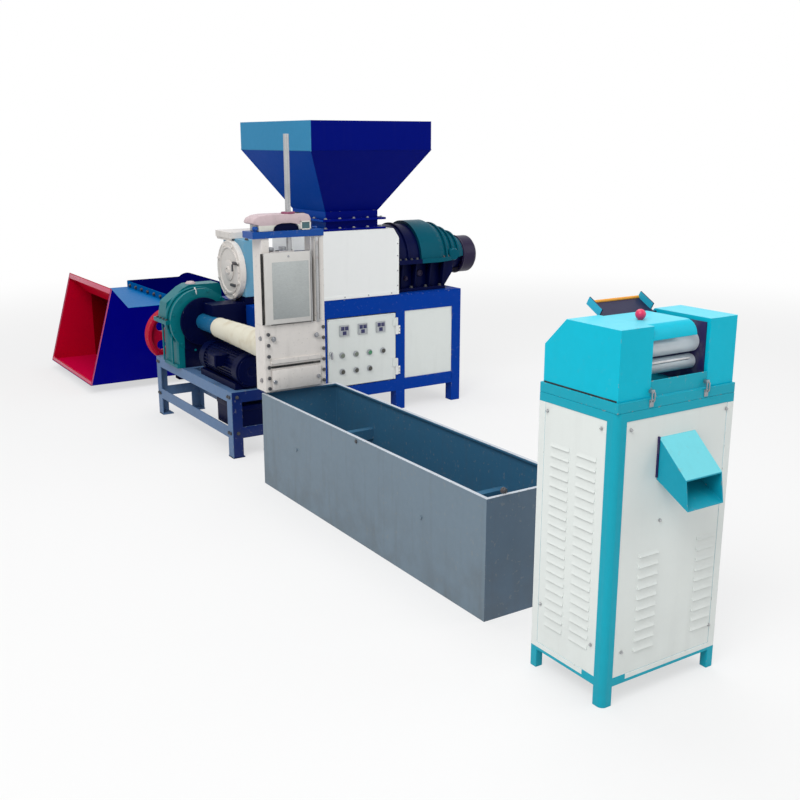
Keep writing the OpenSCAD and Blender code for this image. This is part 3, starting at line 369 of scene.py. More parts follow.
@dataclass(frozen=True)
class Steel:
    """Bare steel: ground, turned or cast, with tool marks, oil and light rust."""

    name: str
    slot: str
    colour: Colour
    roughness: float = 0.32
    marks: Point = (1, 1, 14)
    rust: float = 0.1
    oil: float = 0.2

    def material(self) -> bpy.types.Material:
        """The Blender material of this steel."""
        return material_named(self.name, self._surface)

    def worn(self) -> "Steel":
        """The same steel along an edge, brighter from handling."""
        return replace(self, name=self.name + "_edge", roughness=self.roughness * 0.8, rust=self.rust * 0.5)

    def _surface(self, graph: Graph) -> Signal:
        """Builds the steel's shader."""
        lines = graph.clouds(70.0, 4, stretch=self.marks)
        clouds = graph.clouds(5.0, 5, shift=4.0)
        rusty = graph.clouds(26.0, 6, shift=8.0).ramp(0.6 - self.rust * 0.3, 0.78) * min(1.0, self.rust * 3)
        oily = graph.clouds(4.0, 3, stretch=(3, 3, 1), shift=6.0).ramp(0.5, 0.7) * self.oil
        tint = graph.blend(lines * 0.5 + clouds * 0.3, self.colour, srgb(118, 120, 124))
        stained = graph.blend(oily, tint, srgb(62, 56, 48))
        final = graph.blend(rusty, stained, srgb(122, 74, 44))
        return graph.node(
            "ShaderNodeBsdfPrincipled",
            {},
            {
                "Base Color": final,
                "Roughness": self.roughness + 0.16 * lines + 0.3 * rusty - 0.08 * oily,
                "Metallic": 0.9 - 0.7 * rusty,
                "Normal": graph.bump(lines + rusty * 0.8, 0.14, 0.0005),
            },
        )


@dataclass(frozen=True)
class Moulded:
    """Moulded plastic or rubber with a fine grain and settled dust."""

    name: str
    slot: str
    colour: Colour
    roughness: float = 0.42
    glow: float = 0.0
    grain: float = 900.0

    def material(self) -> bpy.types.Material:
        """The Blender material of this plastic."""
        return material_named(self.name, self._surface)

    def worn(self) -> "Moulded":
        """The same plastic along an edge, a little smoother."""
        return replace(self, name=self.name + "_edge", roughness=self.roughness * 0.9)

    def _surface(self, graph: Graph) -> Signal:
        """Builds the plastic's shader."""
        grain, dust = graph.clouds(self.grain, 2), graph.clouds(22.0, 5, shift=3.3)
        tone = graph.blend(dust.ramp(0.45, 0.85) * 0.3, self.colour, srgb(150, 146, 138))
        sockets: dict[int | str, object] = {
            "Base Color": tone,
            "Roughness": self.roughness + 0.14 * dust,
            "Normal": graph.bump(grain, 0.1, 0.0002),
        }
        if self.glow > 0:
            sockets.update({"Emission Color": self.colour, "Emission Strength": self.glow})
        return graph.node("ShaderNodeBsdfPrincipled", {}, sockets)


@dataclass(frozen=True)
class Wrapped:
    """Glass tape wound round a barrel, lapped every few centimetres and scorched near the heaters."""

    name: str
    slot: str
    colour: Colour
    pitch: float = 0.036

    def material(self) -> bpy.types.Material:
        """The Blender material of this wrapping."""
        return material_named(self.name, self._surface)

    def worn(self) -> "Wrapped":
        """The same wrapping, as its laps have no edges of their own."""
        return self

    def _surface(self, graph: Graph) -> Signal:
        """Builds the wrapping's shader."""
        weave = graph.clouds(420.0, 3, stretch=(1, 0.3, 1))
        stain = graph.clouds(11.0, 5, shift=2.5)
        tone = graph.blend(stain.ramp(0.42, 0.78) * 0.5, self.colour, srgb(186, 166, 128))
        return graph.node(
            "ShaderNodeBsdfPrincipled",
            {},
            {
                "Base Color": graph.blend(weave * 0.3, tone, srgb(206, 200, 184)),
                "Roughness": 0.78 + 0.1 * stain,
                "Normal": graph.bump(weave + stain * 0.5, 0.4, 0.0008),
            },
        )


Finish = Paint | Steel | Moulded | Wrapped


def _tank_paint() -> Paint:
    """The tank's grey-blue paint, darker and bluer inside, with a painted highlight pale on its rim and painted shade
    on its near side.
    """
    lo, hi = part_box("water_tank")
    skin = 0.003
    inside = Zone((lo.x + skin, lo.y + skin, skin), (hi.x - skin, hi.y - skin, hi.z - 0.0015), srgb(56, 106, 138))
    # Painted highlight: the rim's upward faces are pale where the light falls on them.
    rim = Zone((lo.x - 1, lo.y - 1, hi.z - 0.0015), (hi.x + 1, hi.y + 1, hi.z + 1), srgb(192, 199, 208))
    # Painted shade: the near side is darker, as it lies in shade.
    near = Zone((lo.x - 1, lo.y - 1, -1), (hi.x + 1, lo.y + 0.001, hi.z - 0.0015), srgb(88, 106, 124))
    return Paint("tank_paint", "tank_sheet", srgb(110, 128, 142), roughness=0.42, grime=0.3, zones=(inside, rim, near))


def _second_stand_paint() -> Paint:
    """The second stand's grey-green paint, with painted shade in navy on its near front."""
    lo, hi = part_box("second_stand")
    # Painted shade: the near faces are navy for the shade on the stand's front.
    near = Zone((lo.x + 0.004, lo.y - 1, -1), (hi.x + 1, lo.y + 0.0015, hi.z - 0.002), srgb(8, 34, 96))
    return Paint("second_stand_paint", "grey_green_paint", srgb(88, 120, 160), grime=0.16, chips=0.06, gloss=0.15, zones=(near,))


def _second_casing_paint() -> Paint:
    """The second gearbox's teal paint, with painted shade in dark navy on its front below the barrel."""
    lo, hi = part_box("second_gearbox")
    middle, split = at(172, 0, 0).x, at(0, 0, 682).z
    # Painted shade: the front below the barrel is dark navy for the shade under the barrel.
    low = Zone((middle - 0.118, lo.y - 1, lo.z - 1), (hi.x + 1, lo.y + 0.0095, split), srgb(0, 6, 48))
    return Paint("second_teal", "teal_paint", srgb(0, 108, 118), grime=0.05, chips=0.0, relief=0.3, relief_scale=120.0,
                 gloss=0.12,                 zones=(low,))


def _crusher_paint() -> Paint:
    """The crusher's navy paint, with the red inside of its mouth, painted shade deep in the mouth, a painted highlight
    on the mouth's floor and a pale blue painted highlight on the top of its casing.
    """
    lo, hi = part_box("crusher_mouth")
    skin, crease = 0.004, at(0, 0, 607).z
    red = srgb(190, 0, 40)
    low = Zone((lo.x - 1, lo.y + skin, lo.z + skin), (at(330, 0, 0).x, hi.y - skin, crease), red)
    high = Zone((lo.x - 1, lo.y + skin, crease), (at(107, 0, 0).x, hi.y - skin, hi.z + 1), red, not_facing_up=True)
    # Painted shade: the mouth's inside turns deeper red towards the crease, where less light reaches.
    deep = Zone((at(150, 0, 0).x, lo.y + skin, lo.z + skin), (at(330, 0, 0).x, hi.y - skin, crease), srgb(120, 0, 10))
    # Painted highlight: the mouth's upward floor is a lighter red where light falls on it.
    floor = Zone((lo.x - 1, lo.y + skin, lo.z), (at(150, 0, 0).x, hi.y - skin, crease - 0.3), srgb(216, 0, 68), facing="+Z")
    # Painted highlight: the casing's top is pale blue where light falls on it.
    top = Zone((at(107, 0, 0).x, lo.y - 1, at(0, 0, 609).z), (hi.x + 1, hi.y + 1, at(0, 0, 613).z), srgb(0, 108, 176))
    return Paint("crusher_paint", "crusher_navy", srgb(0, 0, 124), grime=0.02, chips=0.0, coat=0.0, gloss=0.03,
                 zones=(low, high, deep, floor, top))


def _rotor_paint() -> Paint:
    """The rotor housing's navy paint, with a painted highlight in pale blue on the front strip that the casing's bolts
    hold.
    """
    lo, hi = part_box("crusher_body")
    # Painted highlight: the bolted strip is pale blue like the lit top of the casing.
    strip = Zone((lo.x - 1, lo.y - 1, at(0, 0, 611).z), (lo.x + 0.002, hi.y + 1, at(0, 0, 664).z), srgb(0, 108, 176))
    return Paint("rotor_navy", "crusher_navy", srgb(0, 2, 78), grime=0.02, chips=0.0, coat=0.0, gloss=0.0,
                 zones=(strip,))


def _gearbox_paint() -> Paint:
    """The main gearbox's teal paint, with painted shade in dark navy on its lower half and on its thrust housing under
    the hopper.
    """
    lo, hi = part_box("main_gearbox")
    navy = srgb(2, 10, 58)
    split = at(0, 0, 993).z
    # Painted shade: the lower half is dark navy for the shade below the flange.
    lower = Zone((lo.x - 1, lo.y - 1, lo.z - 1), (hi.x + 1, hi.y + 1, split), navy)
    # Painted shade: the left end above the split is dark navy for the shade under the hopper on the thrust housing.
    thrust = Zone((lo.x - 1, lo.y - 1, split), (lo.x + 0.2, hi.y + 1, hi.z + 1), navy)
    return Paint("gearbox_teal", "teal_paint", srgb(0, 82, 100), roughness=0.28, grime=0.05, chips=0.0, relief=0.3,
                 relief_scale=120.0, coat=0.0, gloss=0.06, zones=(lower, thrust))


def _hopper_paint() -> Paint:
    """The hopper's deep blue paint, with a painted highlight on its left side and a paler one on its left rim."""
    lo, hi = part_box("hopper")
    centre = (lo.x + hi.x) / 2
    # Painted highlight: the faces turned to the left are lighter where the light falls on them.
    left = Zone((lo.x - 1, lo.y - 1, lo.z - 1), (centre, hi.y + 1, hi.z + 1), srgb(0, 66, 160), facing="-X")
    # Painted highlight: the leftmost edge of the rim is paler still.
    band = Zone((lo.x - 1, lo.y - 1, lo.z - 1), (lo.x + 0.003, hi.y + 1, hi.z + 1), srgb(60, 140, 184))
    return Paint("hopper_paint", "hopper_blue", srgb(0, 14, 116), grime=0.03, chips=0.0, coat=0.0, gloss=0.03,
                 zones=(left, band))


def _cabinet_paint() -> Paint:
    """The cutter cabinet's turquoise paint, with white sheet over its far posts and lower rails."""
    lo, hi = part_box("cutter_cabinet")
    panels_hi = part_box("cutter_panels")[1]
    skin, post, edge = 0.0015, 0.1, at(0, 0, 82).z
    white = srgb(226, 231, 228)
    left = Zone((lo.x - 1, lo.y + post, edge), (lo.x + skin, hi.y + 1, panels_hi.z), white)
    front = Zone((lo.x + post, lo.y - 1, edge), (hi.x + 1, lo.y + skin, panels_hi.z), white)
    return Paint("cabinet_paint", "turquoise_paint", srgb(8, 162, 184), grime=0.06, chips=0.0, gloss=0.15,
                 zones=(left, front))


def _chute_paint() -> Paint:
    """The discharge chute's turquoise paint, with a painted highlight on its top."""
    lo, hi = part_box("discharge_chute")
    # Painted highlight: the top is lighter where light falls on it.
    top = Zone((lo.x - 1, lo.y - 1, lo.z + 0.088), (hi.x + 1, hi.y + 1, hi.z + 1), srgb(110, 212, 224), facing="+Z")
    return Paint("chute_paint", "turquoise_paint", srgb(8, 152, 176), grime=0.08, chips=0.03, zones=(top,))


def _hood_paint() -> Paint:
    """The hood's cyan paint, with a painted highlight on the top of its left block."""
    lo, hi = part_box("hood_left")
    # Painted highlight: the top faces are lighter where light falls on them.
    top = Zone((lo.x - 1, lo.y - 1, hi.z - 0.0015), (hi.x + 1, hi.y + 1, hi.z + 1), srgb(96, 212, 232))
    return Paint("hood_paint", "turquoise_paint", srgb(0, 186, 212), grime=0.03, chips=0.01, gloss=0.12, coat=0.04,
                 zones=(top,))


def _lid_paint() -> Paint:
    """The feed lid's dark paint, with its two cyan side flanges."""
    sides = tuple(Zone((-9, -9, -9), (9, 9, 9), srgb(40, 170, 200), facing=way) for way in ("-X", "+X"))
    return Paint("lid_paint", "dark_plastic", srgb(30, 30, 62), roughness=0.4, grime=0.05, chips=0.0, gloss=0.2,
                 zones=sides)


def _cast_paint() -> Paint:
    """The lift casting's pinkish paint, with its bare grey feet."""
    lo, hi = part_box("lift_housing")
    feet = Zone((lo.x - 1, lo.y - 1, lo.z - 1), (hi.x + 1, hi.y + 1, lo.z + 0.03), srgb(218, 218, 208))
    return Paint("lift_cast", "pink_cast", srgb(198, 178, 182), roughness=0.5, drift=0.3, relief=0.35,
                 relief_scale=140.0, zones=(feet,))


class Palette:
    """Every finish on the line."""

    tank = _tank_paint()
    crusher = _crusher_paint()
    rotor = _rotor_paint()
    gearbox = _gearbox_paint()
    second_stand = _second_stand_paint()
    second_casing = _second_casing_paint()
    rim_pink = Paint("mouth_rim", "crusher_navy", srgb(206, 92, 118), roughness=0.4, grime=0.1, chips=0.1)
    cap = Paint("cap_purple", "dark_navy_paint", srgb(26, 14, 52), roughness=0.34, grime=0.06, chips=0.0, gloss=0.2)
    plain_plate = Steel("plain_plate", "ground_steel", srgb(196, 201, 199), roughness=0.55, rust=0.02, oil=0.06)
    royal = Paint("royal_blue", "royal_blue_paint", srgb(0, 58, 156), grime=0.05, chips=0.02, coat=0.0, gloss=0.05)
    bar_blue = Paint("bar_blue", "royal_blue_paint", srgb(0, 70, 150), grime=0.1, chips=0.04, coat=0.1, gloss=0.2)
    panel = Paint("panel_white", "panel_white", srgb(226, 231, 228), roughness=0.44, grime=0.08, drift=0.06, chips=0.0)
    white = Paint("cover_white", "white_paint", srgb(240, 242, 241), roughness=0.38, grime=0.04, drift=0.05, chips=0.0)
    hopper = _hopper_paint()
    light_blue = Paint("light_blue", "light_blue_paint", srgb(100, 158, 188), grime=0.2)
    tube_blue = Paint("barrel_blue", "light_blue_paint", srgb(14, 92, 134), grime=0.1, gloss=0.2)
    cream = Paint("cream", "cream_paint", srgb(222, 217, 212), roughness=0.46, grime=0.22)
    teal = Paint("teal", "teal_paint", srgb(0, 108, 118), grime=0.05, chips=0.0, relief=0.3, relief_scale=120.0, gloss=0.12)
    navy = Paint("dark_navy", "dark_navy_paint", srgb(0, 6, 48), grime=0.04, chips=0.0, relief=0.25,
                 relief_scale=130.0, coat=0.0, gloss=0.06)
    grey_green = Paint("grey_green", "grey_green_paint", srgb(96, 120, 140), grime=0.22, chips=0.08)
    red = Paint("pulley_red", "red_paint", srgb(180, 0, 46), grime=0.08, chips=0.0, gloss=0.2)
    pink = _cast_paint()
    lid = _lid_paint()
    # Dark navy for the painted shade at the hood window's end, and for the chute's dark joint.
    inner_wall = Moulded("inner_wall", "dark_plastic", srgb(18, 4, 72), roughness=0.6)
    boss = Paint("lift_boss", "pink_cast", srgb(140, 70, 100), roughness=0.5, relief=0.3)
    door = Paint("door_white", "white_paint", srgb(222, 234, 228), roughness=0.4, grime=0.05, chips=0.0)
    # Painted reflection: the steel rollers get near-white paint that stands for the bright room they reflect.
    roller = Paint("roller_chrome", "ground_steel", srgb(214, 224, 230), roughness=0.3, grime=0.06, chips=0.0, gloss=0.7, coat=0.3)
    turquoise = Paint("turquoise", "turquoise_paint", srgb(8, 162, 184), grime=0.06, chips=0.03, gloss=0.15)
    cyan = _hood_paint()
    chute = _chute_paint()
    cabinet = _cabinet_paint()
    hazard = Paint("lid_strip", "knob_plastic", srgb(236, 160, 50), roughness=0.4, grime=0.1)
    ground = Steel("ground_steel", "ground_steel", srgb(204, 205, 206))
    slide = Steel("slide_steel", "ground_steel", srgb(200, 200, 200), roughness=0.42, oil=0.35)
    barrel = Steel("barrel_steel", "barrel_steel", srgb(128, 130, 134), roughness=0.5, rust=0.3)
    sheet = Paint("changer_sheet", "cream_paint", srgb(208, 206, 202), roughness=0.44, grime=0.14, chips=0.0)
    murky = Moulded("murky_glass", "dark_plastic", srgb(60, 96, 104), roughness=0.3)
    zinc = Steel("zinc_bolt", "ground_steel", srgb(178, 180, 184), roughness=0.36, marks=(4, 4, 4))
    black_bolt = Steel("black_bolt", "barrel_steel", srgb(58, 58, 62), roughness=0.5, marks=(4, 4, 4), oil=0.4)
    wrap = Wrapped("glass_tape", "sleeve_wrap", srgb(226, 222, 204))
    dark = Moulded("dark_plastic", "dark_plastic", srgb(34, 35, 38))
    void = Moulded("slot_dark", "dark_plastic", srgb(14, 14, 16), roughness=0.7)
    bezel = Moulded("bezel_plastic", "dark_plastic", srgb(176, 180, 184))
    green = Moulded("green_button", "button_plastic", srgb(58, 132, 92), roughness=0.3)
    scarlet = Moulded("grey_button", "button_plastic", srgb(104, 96, 92), roughness=0.3)
    ivory = Moulded("white_button", "button_plastic", srgb(112, 122, 110), roughness=0.35)
    charcoal = Moulded("charcoal_button", "button_plastic", srgb(66, 66, 60), roughness=0.35)
    knob = Moulded("knob_pink", "knob_plastic", srgb(222, 40, 92), roughness=0.25)
    digits = Moulded("display_digits", "button_plastic", srgb(30, 34, 88), roughness=0.3)


# ---- Modelling


class Bench:
    """Adds primitives and shapes them in edit mode, as by hand. Sizes are in millimetres."""

    def clear(self) -> None:
        """Leaves edit mode and deselects everything."""
        if bpy.context.mode != "OBJECT":
            bpy.ops.object.mode_set(mode="OBJECT")
        bpy.ops.object.select_all(action="DESELECT")

    @contextmanager
    def edit(self, piece: bpy.types.Object, kind: str = "FACE") -> Iterator[bmesh.types.BMesh]:
        """Opens a piece in edit mode with nothing selected, and closes it afterwards."""
        self.clear()
        bpy.context.view_layer.objects.active = piece
        piece.select_set(True)
        bpy.ops.object.mode_set(mode="EDIT")
        bpy.ops.mesh.select_mode(type=kind)
        bpy.ops.mesh.select_all(action="DESELECT")
        yield bmesh.from_edit_mesh(piece.data)
        bpy.ops.object.mode_set(mode="OBJECT")

    def pick_faces(self, mesh: bmesh.types.BMesh, test: Callable[[Vector, Vector], bool]) -> int:
        """Selects the faces whose centre and normal pass a test, and says how many."""
        count = 0
        for face in mesh.faces:
            chosen = test(face.calc_center_median(), face.normal)
            face.select_set(chosen)
            count += chosen
        mesh.select_flush_mode()
        return count

    def pick_edges(self, mesh: bmesh.types.BMesh, test: Callable[[Vector, Vector], bool]) -> int:
        """Selects the edges whose two ends pass a test, and says how many."""
        count = 0
        for edge in mesh.edges:
            chosen = test(edge.verts[0].co, edge.verts[1].co)
            edge.select_set(chosen)
            count += chosen
        mesh.select_flush_mode()
        return count

    def settle(self, piece: bpy.types.Object, name: str) -> bpy.types.Object:
        """Names a piece and puts its place and turn into its mesh."""
        self.clear()
        piece.name = name
        piece.data.name = name
        bpy.context.view_layer.objects.active = piece
        piece.select_set(True)
        bpy.ops.object.transform_apply(location=True, rotation=True, scale=True)
        return piece

    def block(self, name: str, lo: Point, hi: Point, edge: float = 1.0, segments: int = 2) -> bpy.types.Object:
        """Models a block with broken edges.

        Args:
            name: The piece's name.
            lo: Its lowest corner.
            hi: Its highest corner.
            edge: The width of the bevel, 0 for none.
            segments: The bevel's segments.

        Returns:
            The piece.
        """
        self.clear()
        low, high = at(*lo), at(*hi)
        bpy.ops.mesh.primitive_cube_add(size=1, location=(low + high) / 2, scale=high - low)
        piece = self.settle(bpy.context.object, name)
        if edge > 0:
            with self.edit(piece, "EDGE"):
                bpy.ops.mesh.select_all(action="SELECT")
                bpy.ops.mesh.bevel(offset=edge * MM, segments=segments, affect="EDGES", clamp_overlap=True)
        return piece

    def turned(
        self, name: str, base: Point, facing: Facing, outline: Sequence[tuple[float, float]], sides: int = 32
    ) -> bpy.types.Object:
        """Models a turned piece by extruding and scaling a disc.

        Args:
            name: The piece's name.
            base: Where the axis meets the first disc.
            facing: The way the axis runs.
            outline: Radius and height of each ring, from the base on.
            sides: Faces round it.

        Returns:
            The piece.
        """
        self.clear()
        radius, height = outline[0]
        bpy.ops.mesh.primitive_circle_add(vertices=sides, radius=radius * MM, fill_type="NGON")
        piece = bpy.context.object
        with self.edit(piece):
            bpy.ops.mesh.select_all(action="SELECT")
            bpy.ops.transform.translate(value=(0, 0, height * MM))
            for next_radius, next_height in outline[1:]:
                bpy.ops.mesh.extrude_region_move(
                    TRANSFORM_OT_translate={"value": (0, 0, (next_height - height) * MM)}
                )
                share = next_radius / radius
                bpy.ops.transform.resize(value=(share, share, 1), center_override=(0, 0, next_height * MM))
                radius, height = next_radius, next_height
        piece.matrix_world = Matrix.Translation(at(*base)) @ facing.turn()
        return self.settle(piece, name)

    def prism(self, name: str, outline: Sequence[tuple[float, float]], plane: str, start: float, end: float,
              edge: float = 0.0) -> bpy.types.Object:
        """Models a straight bar of any outline by extruding its corners one by one, then the face.

        Args:
            name: The piece's name.
            outline: The corners, in order.
            plane: The two axes of the corners, such as "YZ".
            start: Where the bar begins on the third axis.
            end: Where it ends.
            edge: The width of the bevel on its edges.

        Returns:
            The piece.
        """
        self.clear()
        axes = ["XYZ".index(letter) for letter in plane]
        third = 3 - sum(axes)

        def corner(pair: tuple[float, float]) -> Vector:
            """One corner in the frame."""
            spot = [0.0, 0.0, 0.0]
            spot[axes[0]], spot[axes[1]], spot[third] = pair[0], pair[1], start
            return at(*spot)

        bpy.ops.mesh.primitive_plane_add(size=MM)
        piece = bpy.context.object
        with self.edit(piece, "VERT") as mesh:
            mesh.verts.ensure_lookup_table()
            for extra in list(mesh.verts)[1:]:
                mesh.verts.remove(extra)
            mesh.verts.ensure_lookup_table()
            mesh.verts[0].co = corner(outline[0])
            mesh.verts[0].select_set(True)
            for before, after in zip(outline, outline[1:]):
                bpy.ops.mesh.extrude_vertices_move(
                    TRANSFORM_OT_translate={"value": corner(after) - corner(before)}
                )
            bpy.ops.mesh.select_all(action="SELECT")
            bpy.ops.mesh.edge_face_add()
            run = [0.0, 0.0, 0.0]
            run[third] = (end - start) * MM
            bpy.ops.mesh.select_all(action="SELECT")
            bpy.ops.mesh.extrude_region_move(TRANSFORM_OT_translate={"value": run})
            bpy.ops.mesh.select_all(action="SELECT")
            bpy.ops.mesh.normals_make_consistent(inside=False)
            if edge > 0:
                bpy.ops.mesh.bevel(offset=edge * MM, segments=2, affect="EDGES", clamp_overlap=True)
        return self.settle(piece, name)

    def tube(
        self, name: str, base: Point, facing: Facing, radius: float, length: float, wall: float, sides: int = 40,
        edge: float = 0.8,
    ) -> bpy.types.Object:
        """Models an open ring or pipe, as a bent sheet that is given its thickness inwards."""
        self.clear()
        bpy.ops.mesh.primitive_cylinder_add(
            vertices=sides, radius=radius * MM, depth=length * MM, end_fill_type="NOTHING"
        )
        piece = bpy.context.object
        piece.matrix_world = Matrix.Translation(at(*base)) @ facing.turn() @ Matrix.Translation((0, 0, length * MM / 2))
        self.settle(piece, name)
        self.apply(piece, "SOLIDIFY", thickness=wall * MM, offset=-1.0)
        if edge > 0:
            self.apply(piece, "BEVEL", width=edge * MM, segments=2, limit_method="ANGLE", angle_limit=math.radians(60))
        return piece

    def bead(self, name: str, centre: Point, facing: Facing, radius: float, thick: float, sides: int = 48) -> bpy.types.Object:
        """Models a round bead or O-ring about an axis."""
        self.clear()
        bpy.ops.mesh.primitive_torus_add(
            major_radius=radius * MM, minor_radius=thick * MM, major_segments=sides, minor_segments=8
        )
        piece = bpy.context.object
        piece.matrix_world = Matrix.Translation(at(*centre)) @ facing.turn()
        return self.settle(piece, name)

    def bent_rod(self, name: str, start: Point, radius: float, path: Sequence[Point], sides: int = 10) -> bpy.types.Object:
        """Models a bent rod by extruding a disc through a path and closing the far end."""
        self.clear()
        spots = [at(*p) for p in [start, *path]]
        way = (spots[1] - spots[0]).normalized()
        bpy.ops.mesh.primitive_circle_add(vertices=sides, radius=radius * MM, fill_type="NGON")
        piece = bpy.context.object
        piece.matrix_world = Matrix.Translation(spots[0]) @ Vector((0, 0, 1)).rotation_difference(way).to_matrix().to_4x4()
        self.settle(piece, name)
        with self.edit(piece):
            bpy.ops.mesh.select_all(action="SELECT")
            for number in range(1, len(spots)):
                bpy.ops.mesh.extrude_region_move(
                    TRANSFORM_OT_translate={"value": spots[number] - spots[number - 1]}
                )
                if number < len(spots) - 1:
                    after = (spots[number + 1] - spots[number]).normalized()
                    turn = way.rotation_difference(after)
                    half = turn.angle
                    if half > 0.01:
                        self._turn_selected(piece, spots[number], turn.axis, half)
                    way = after
        self.smooth(piece)
        return piece

    def _turn_selected(self, piece: bpy.types.Object, centre: Vector, axis: Vector, angle: float) -> None:
        """Turns the selected vertices about a point."""
        mesh = bmesh.from_edit_mesh(piece.data)
        chosen = [v for v in mesh.verts if v.select]
        bmesh.ops.rotate(mesh, cent=centre, matrix=Matrix.Rotation(angle, 3, axis), verts=chosen)
        bmesh.update_edit_mesh(piece.data)

    def apply(self, piece: bpy.types.Object, kind: str, **settings: object) -> bpy.types.Object:
        """Adds a modifier and applies it."""
        self.clear()
        bpy.context.view_layer.objects.active = piece
        piece.select_set(True)
        modifier = piece.modifiers.new("shape", kind)
        for key, value in settings.items():
            setattr(modifier, key, value)
        bpy.ops.object.modifier_apply(modifier=modifier.name)
        return piece

    def smooth(self, piece: bpy.types.Object, angle: float = 34.0) -> bpy.types.Object:
        """Shades a piece smooth up to an angle."""
        self.clear()
        bpy.context.view_layer.objects.active = piece
        piece.select_set(True)
        bpy.ops.object.shade_smooth_by_angle(angle=math.radians(angle))
        return piece

    def join(self, name: str, pieces: Sequence[bpy.types.Object]) -> bpy.types.Object:
        """Joins pieces into the first one, keeping each one's materials."""
        self.clear()
        for piece in pieces:
            piece.select_set(True)
        bpy.context.view_layer.objects.active = pieces[0]
        if len(pieces) > 1:
            bpy.ops.object.join()
        pieces[0].name = name
        pieces[0].data.name = name
        return pieces[0]

    def copies(self, pattern: bpy.types.Object, name: str, moves: Sequence[Matrix]) -> bpy.types.Object:
        """Copies a modelled piece to many places, each copy with its own mesh, and joins them.

        Args:
            pattern: The piece to copy, which is removed afterwards.
            name: The name of the result.
            moves: Where each copy goes, from where the pattern lies.

        Returns:
            One piece holding all the copies.
        """
        made = []
        for move in moves:
            twin = pattern.copy()
            twin.data = pattern.data.copy()
            twin.data.transform(move)
            bpy.context.scene.collection.objects.link(twin)
            made.append(twin)
        bpy.data.objects.remove(pattern)
        return self.join(name, made)


BENCH = Bench()


def finish_piece(piece: bpy.types.Object, finish: Finish, body: str = "line", smooth: float = 34.0) -> bpy.types.Object:
    """Shades a piece, gives it a finish and sets it on its body.

    Args:
        piece: The modelled piece.
        finish: Its finish.
        body: The CAD body that it rides on.
        smooth: The angle up to which it is shaded smooth, 0 to leave it.

    Returns:
        The same piece.
    """
    if smooth > 0:
        BENCH.smooth(piece, smooth)
    if not piece.data.materials:
        piece.data.materials.append(finish.material())
    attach(piece, body)
    LOG.info("made %s on %s", piece.name, body)
    return piece


def dress(node: str, finish: Finish, edge: float = 2.0, segments: int = 2) -> None:
    """Gives a CAD node its finish, and breaks its sharp edges with a worn band.

    Args:
        node: The CAD node.
        finish: Its finish.
        edge: The width of the broken edge in millimetres.
        segments: The bevel's segments.
    """
    shell = frame["nodes"][node]
    shell.data.materials.clear()
    shell.data.materials.append(finish.material())
    shell.data.materials.append(finish.worn().material())
    for polygon in shell.data.polygons:
        polygon.material_index = 0
        polygon.use_smooth = True
    shell.modifiers.new("weld", "WELD").merge_threshold = 0.00001
    flat = shell.modifiers.new("flat", "DECIMATE")
    flat.decimate_type, flat.angle_limit = "DISSOLVE", math.radians(0.8)
    bevel = shell.modifiers.new("edges", "BEVEL")
    bevel.width, bevel.segments, bevel.limit_method = edge * MM, segments, "ANGLE"
    bevel.angle_limit, bevel.material, bevel.use_clamp_overlap = math.radians(31), 1, True
    shell.modifiers.new("normals", "WEIGHTED_NORMAL").weight = 60
    LOG.info("dressed %s with %s", node, finish.name)


@dataclass(frozen=True)
class Bolt:
    """A hexagon bolt on a washer."""

    across: float = 17.0
    head: float = 8.0
    washer: float = 0.0

    def pattern(self) -> bpy.types.Object:
        """Models one bolt head at the tank's foot, standing up along Z."""
        base = (0.0, 0.0, 0.0)
        radius = self.across / 2 / math.cos(math.pi / 6)
        lift = 2.0 if self.washer else 0.0
        head = BENCH.turned(
            "bolt_head", base, Facing.UP,
            [(radius, lift), (radius, lift + self.head * 0.82), (radius * 0.86, lift + self.head)], 6,
        )
        if not self.washer:
            return head
        ring = BENCH.turned("bolt_washer", base, Facing.UP, [(self.washer, 0), (self.washer, 1.6), (self.washer - 0.8, 2.2)], 20)
        return BENCH.join("bolt_head", [head, ring])

    def fit(
        self, name: str, places: Sequence[Point], facing: Facing, finish: Finish, body: str = "line"
    ) -> bpy.types.Object:
        """Fits a bolt at each place.

        Args:
            name: The piece's name.
            places: Where the heads' undersides lie.
            facing: The way they stand out.
            finish: Their finish.
            body: The body that they ride on.

        Returns:
            One piece with all the heads.
        """
        chance = random.Random(name)
        home = Matrix.Translation(-at(0, 0, 0))
        moves = [
            Matrix.Translation(at(*spot)) @ facing.turn() @ Matrix.Rotation(chance.uniform(0, 1.0), 4, "Z") @ home
            for spot in places
        ]
        return finish_piece(BENCH.copies(self.pattern(), name, moves), finish, body, 20.0)


def ring_places(centre: Point, facing: Facing, radius: float, count: int, first: float = 0.0) -> list[Point]:
    """Gives evenly spaced places on a circle about an axis."""
    turn = facing.turn()
    found = []
    for number in range(count):
        angle = math.radians(first) + number * math.tau / count
        spot = Vector(centre) + turn.to_3x3() @ Vector((radius * math.cos(angle), radius * math.sin(angle), 0))
        found.append((spot.x, spot.y, spot.z))
    return found


# ---- Sub-assemblies


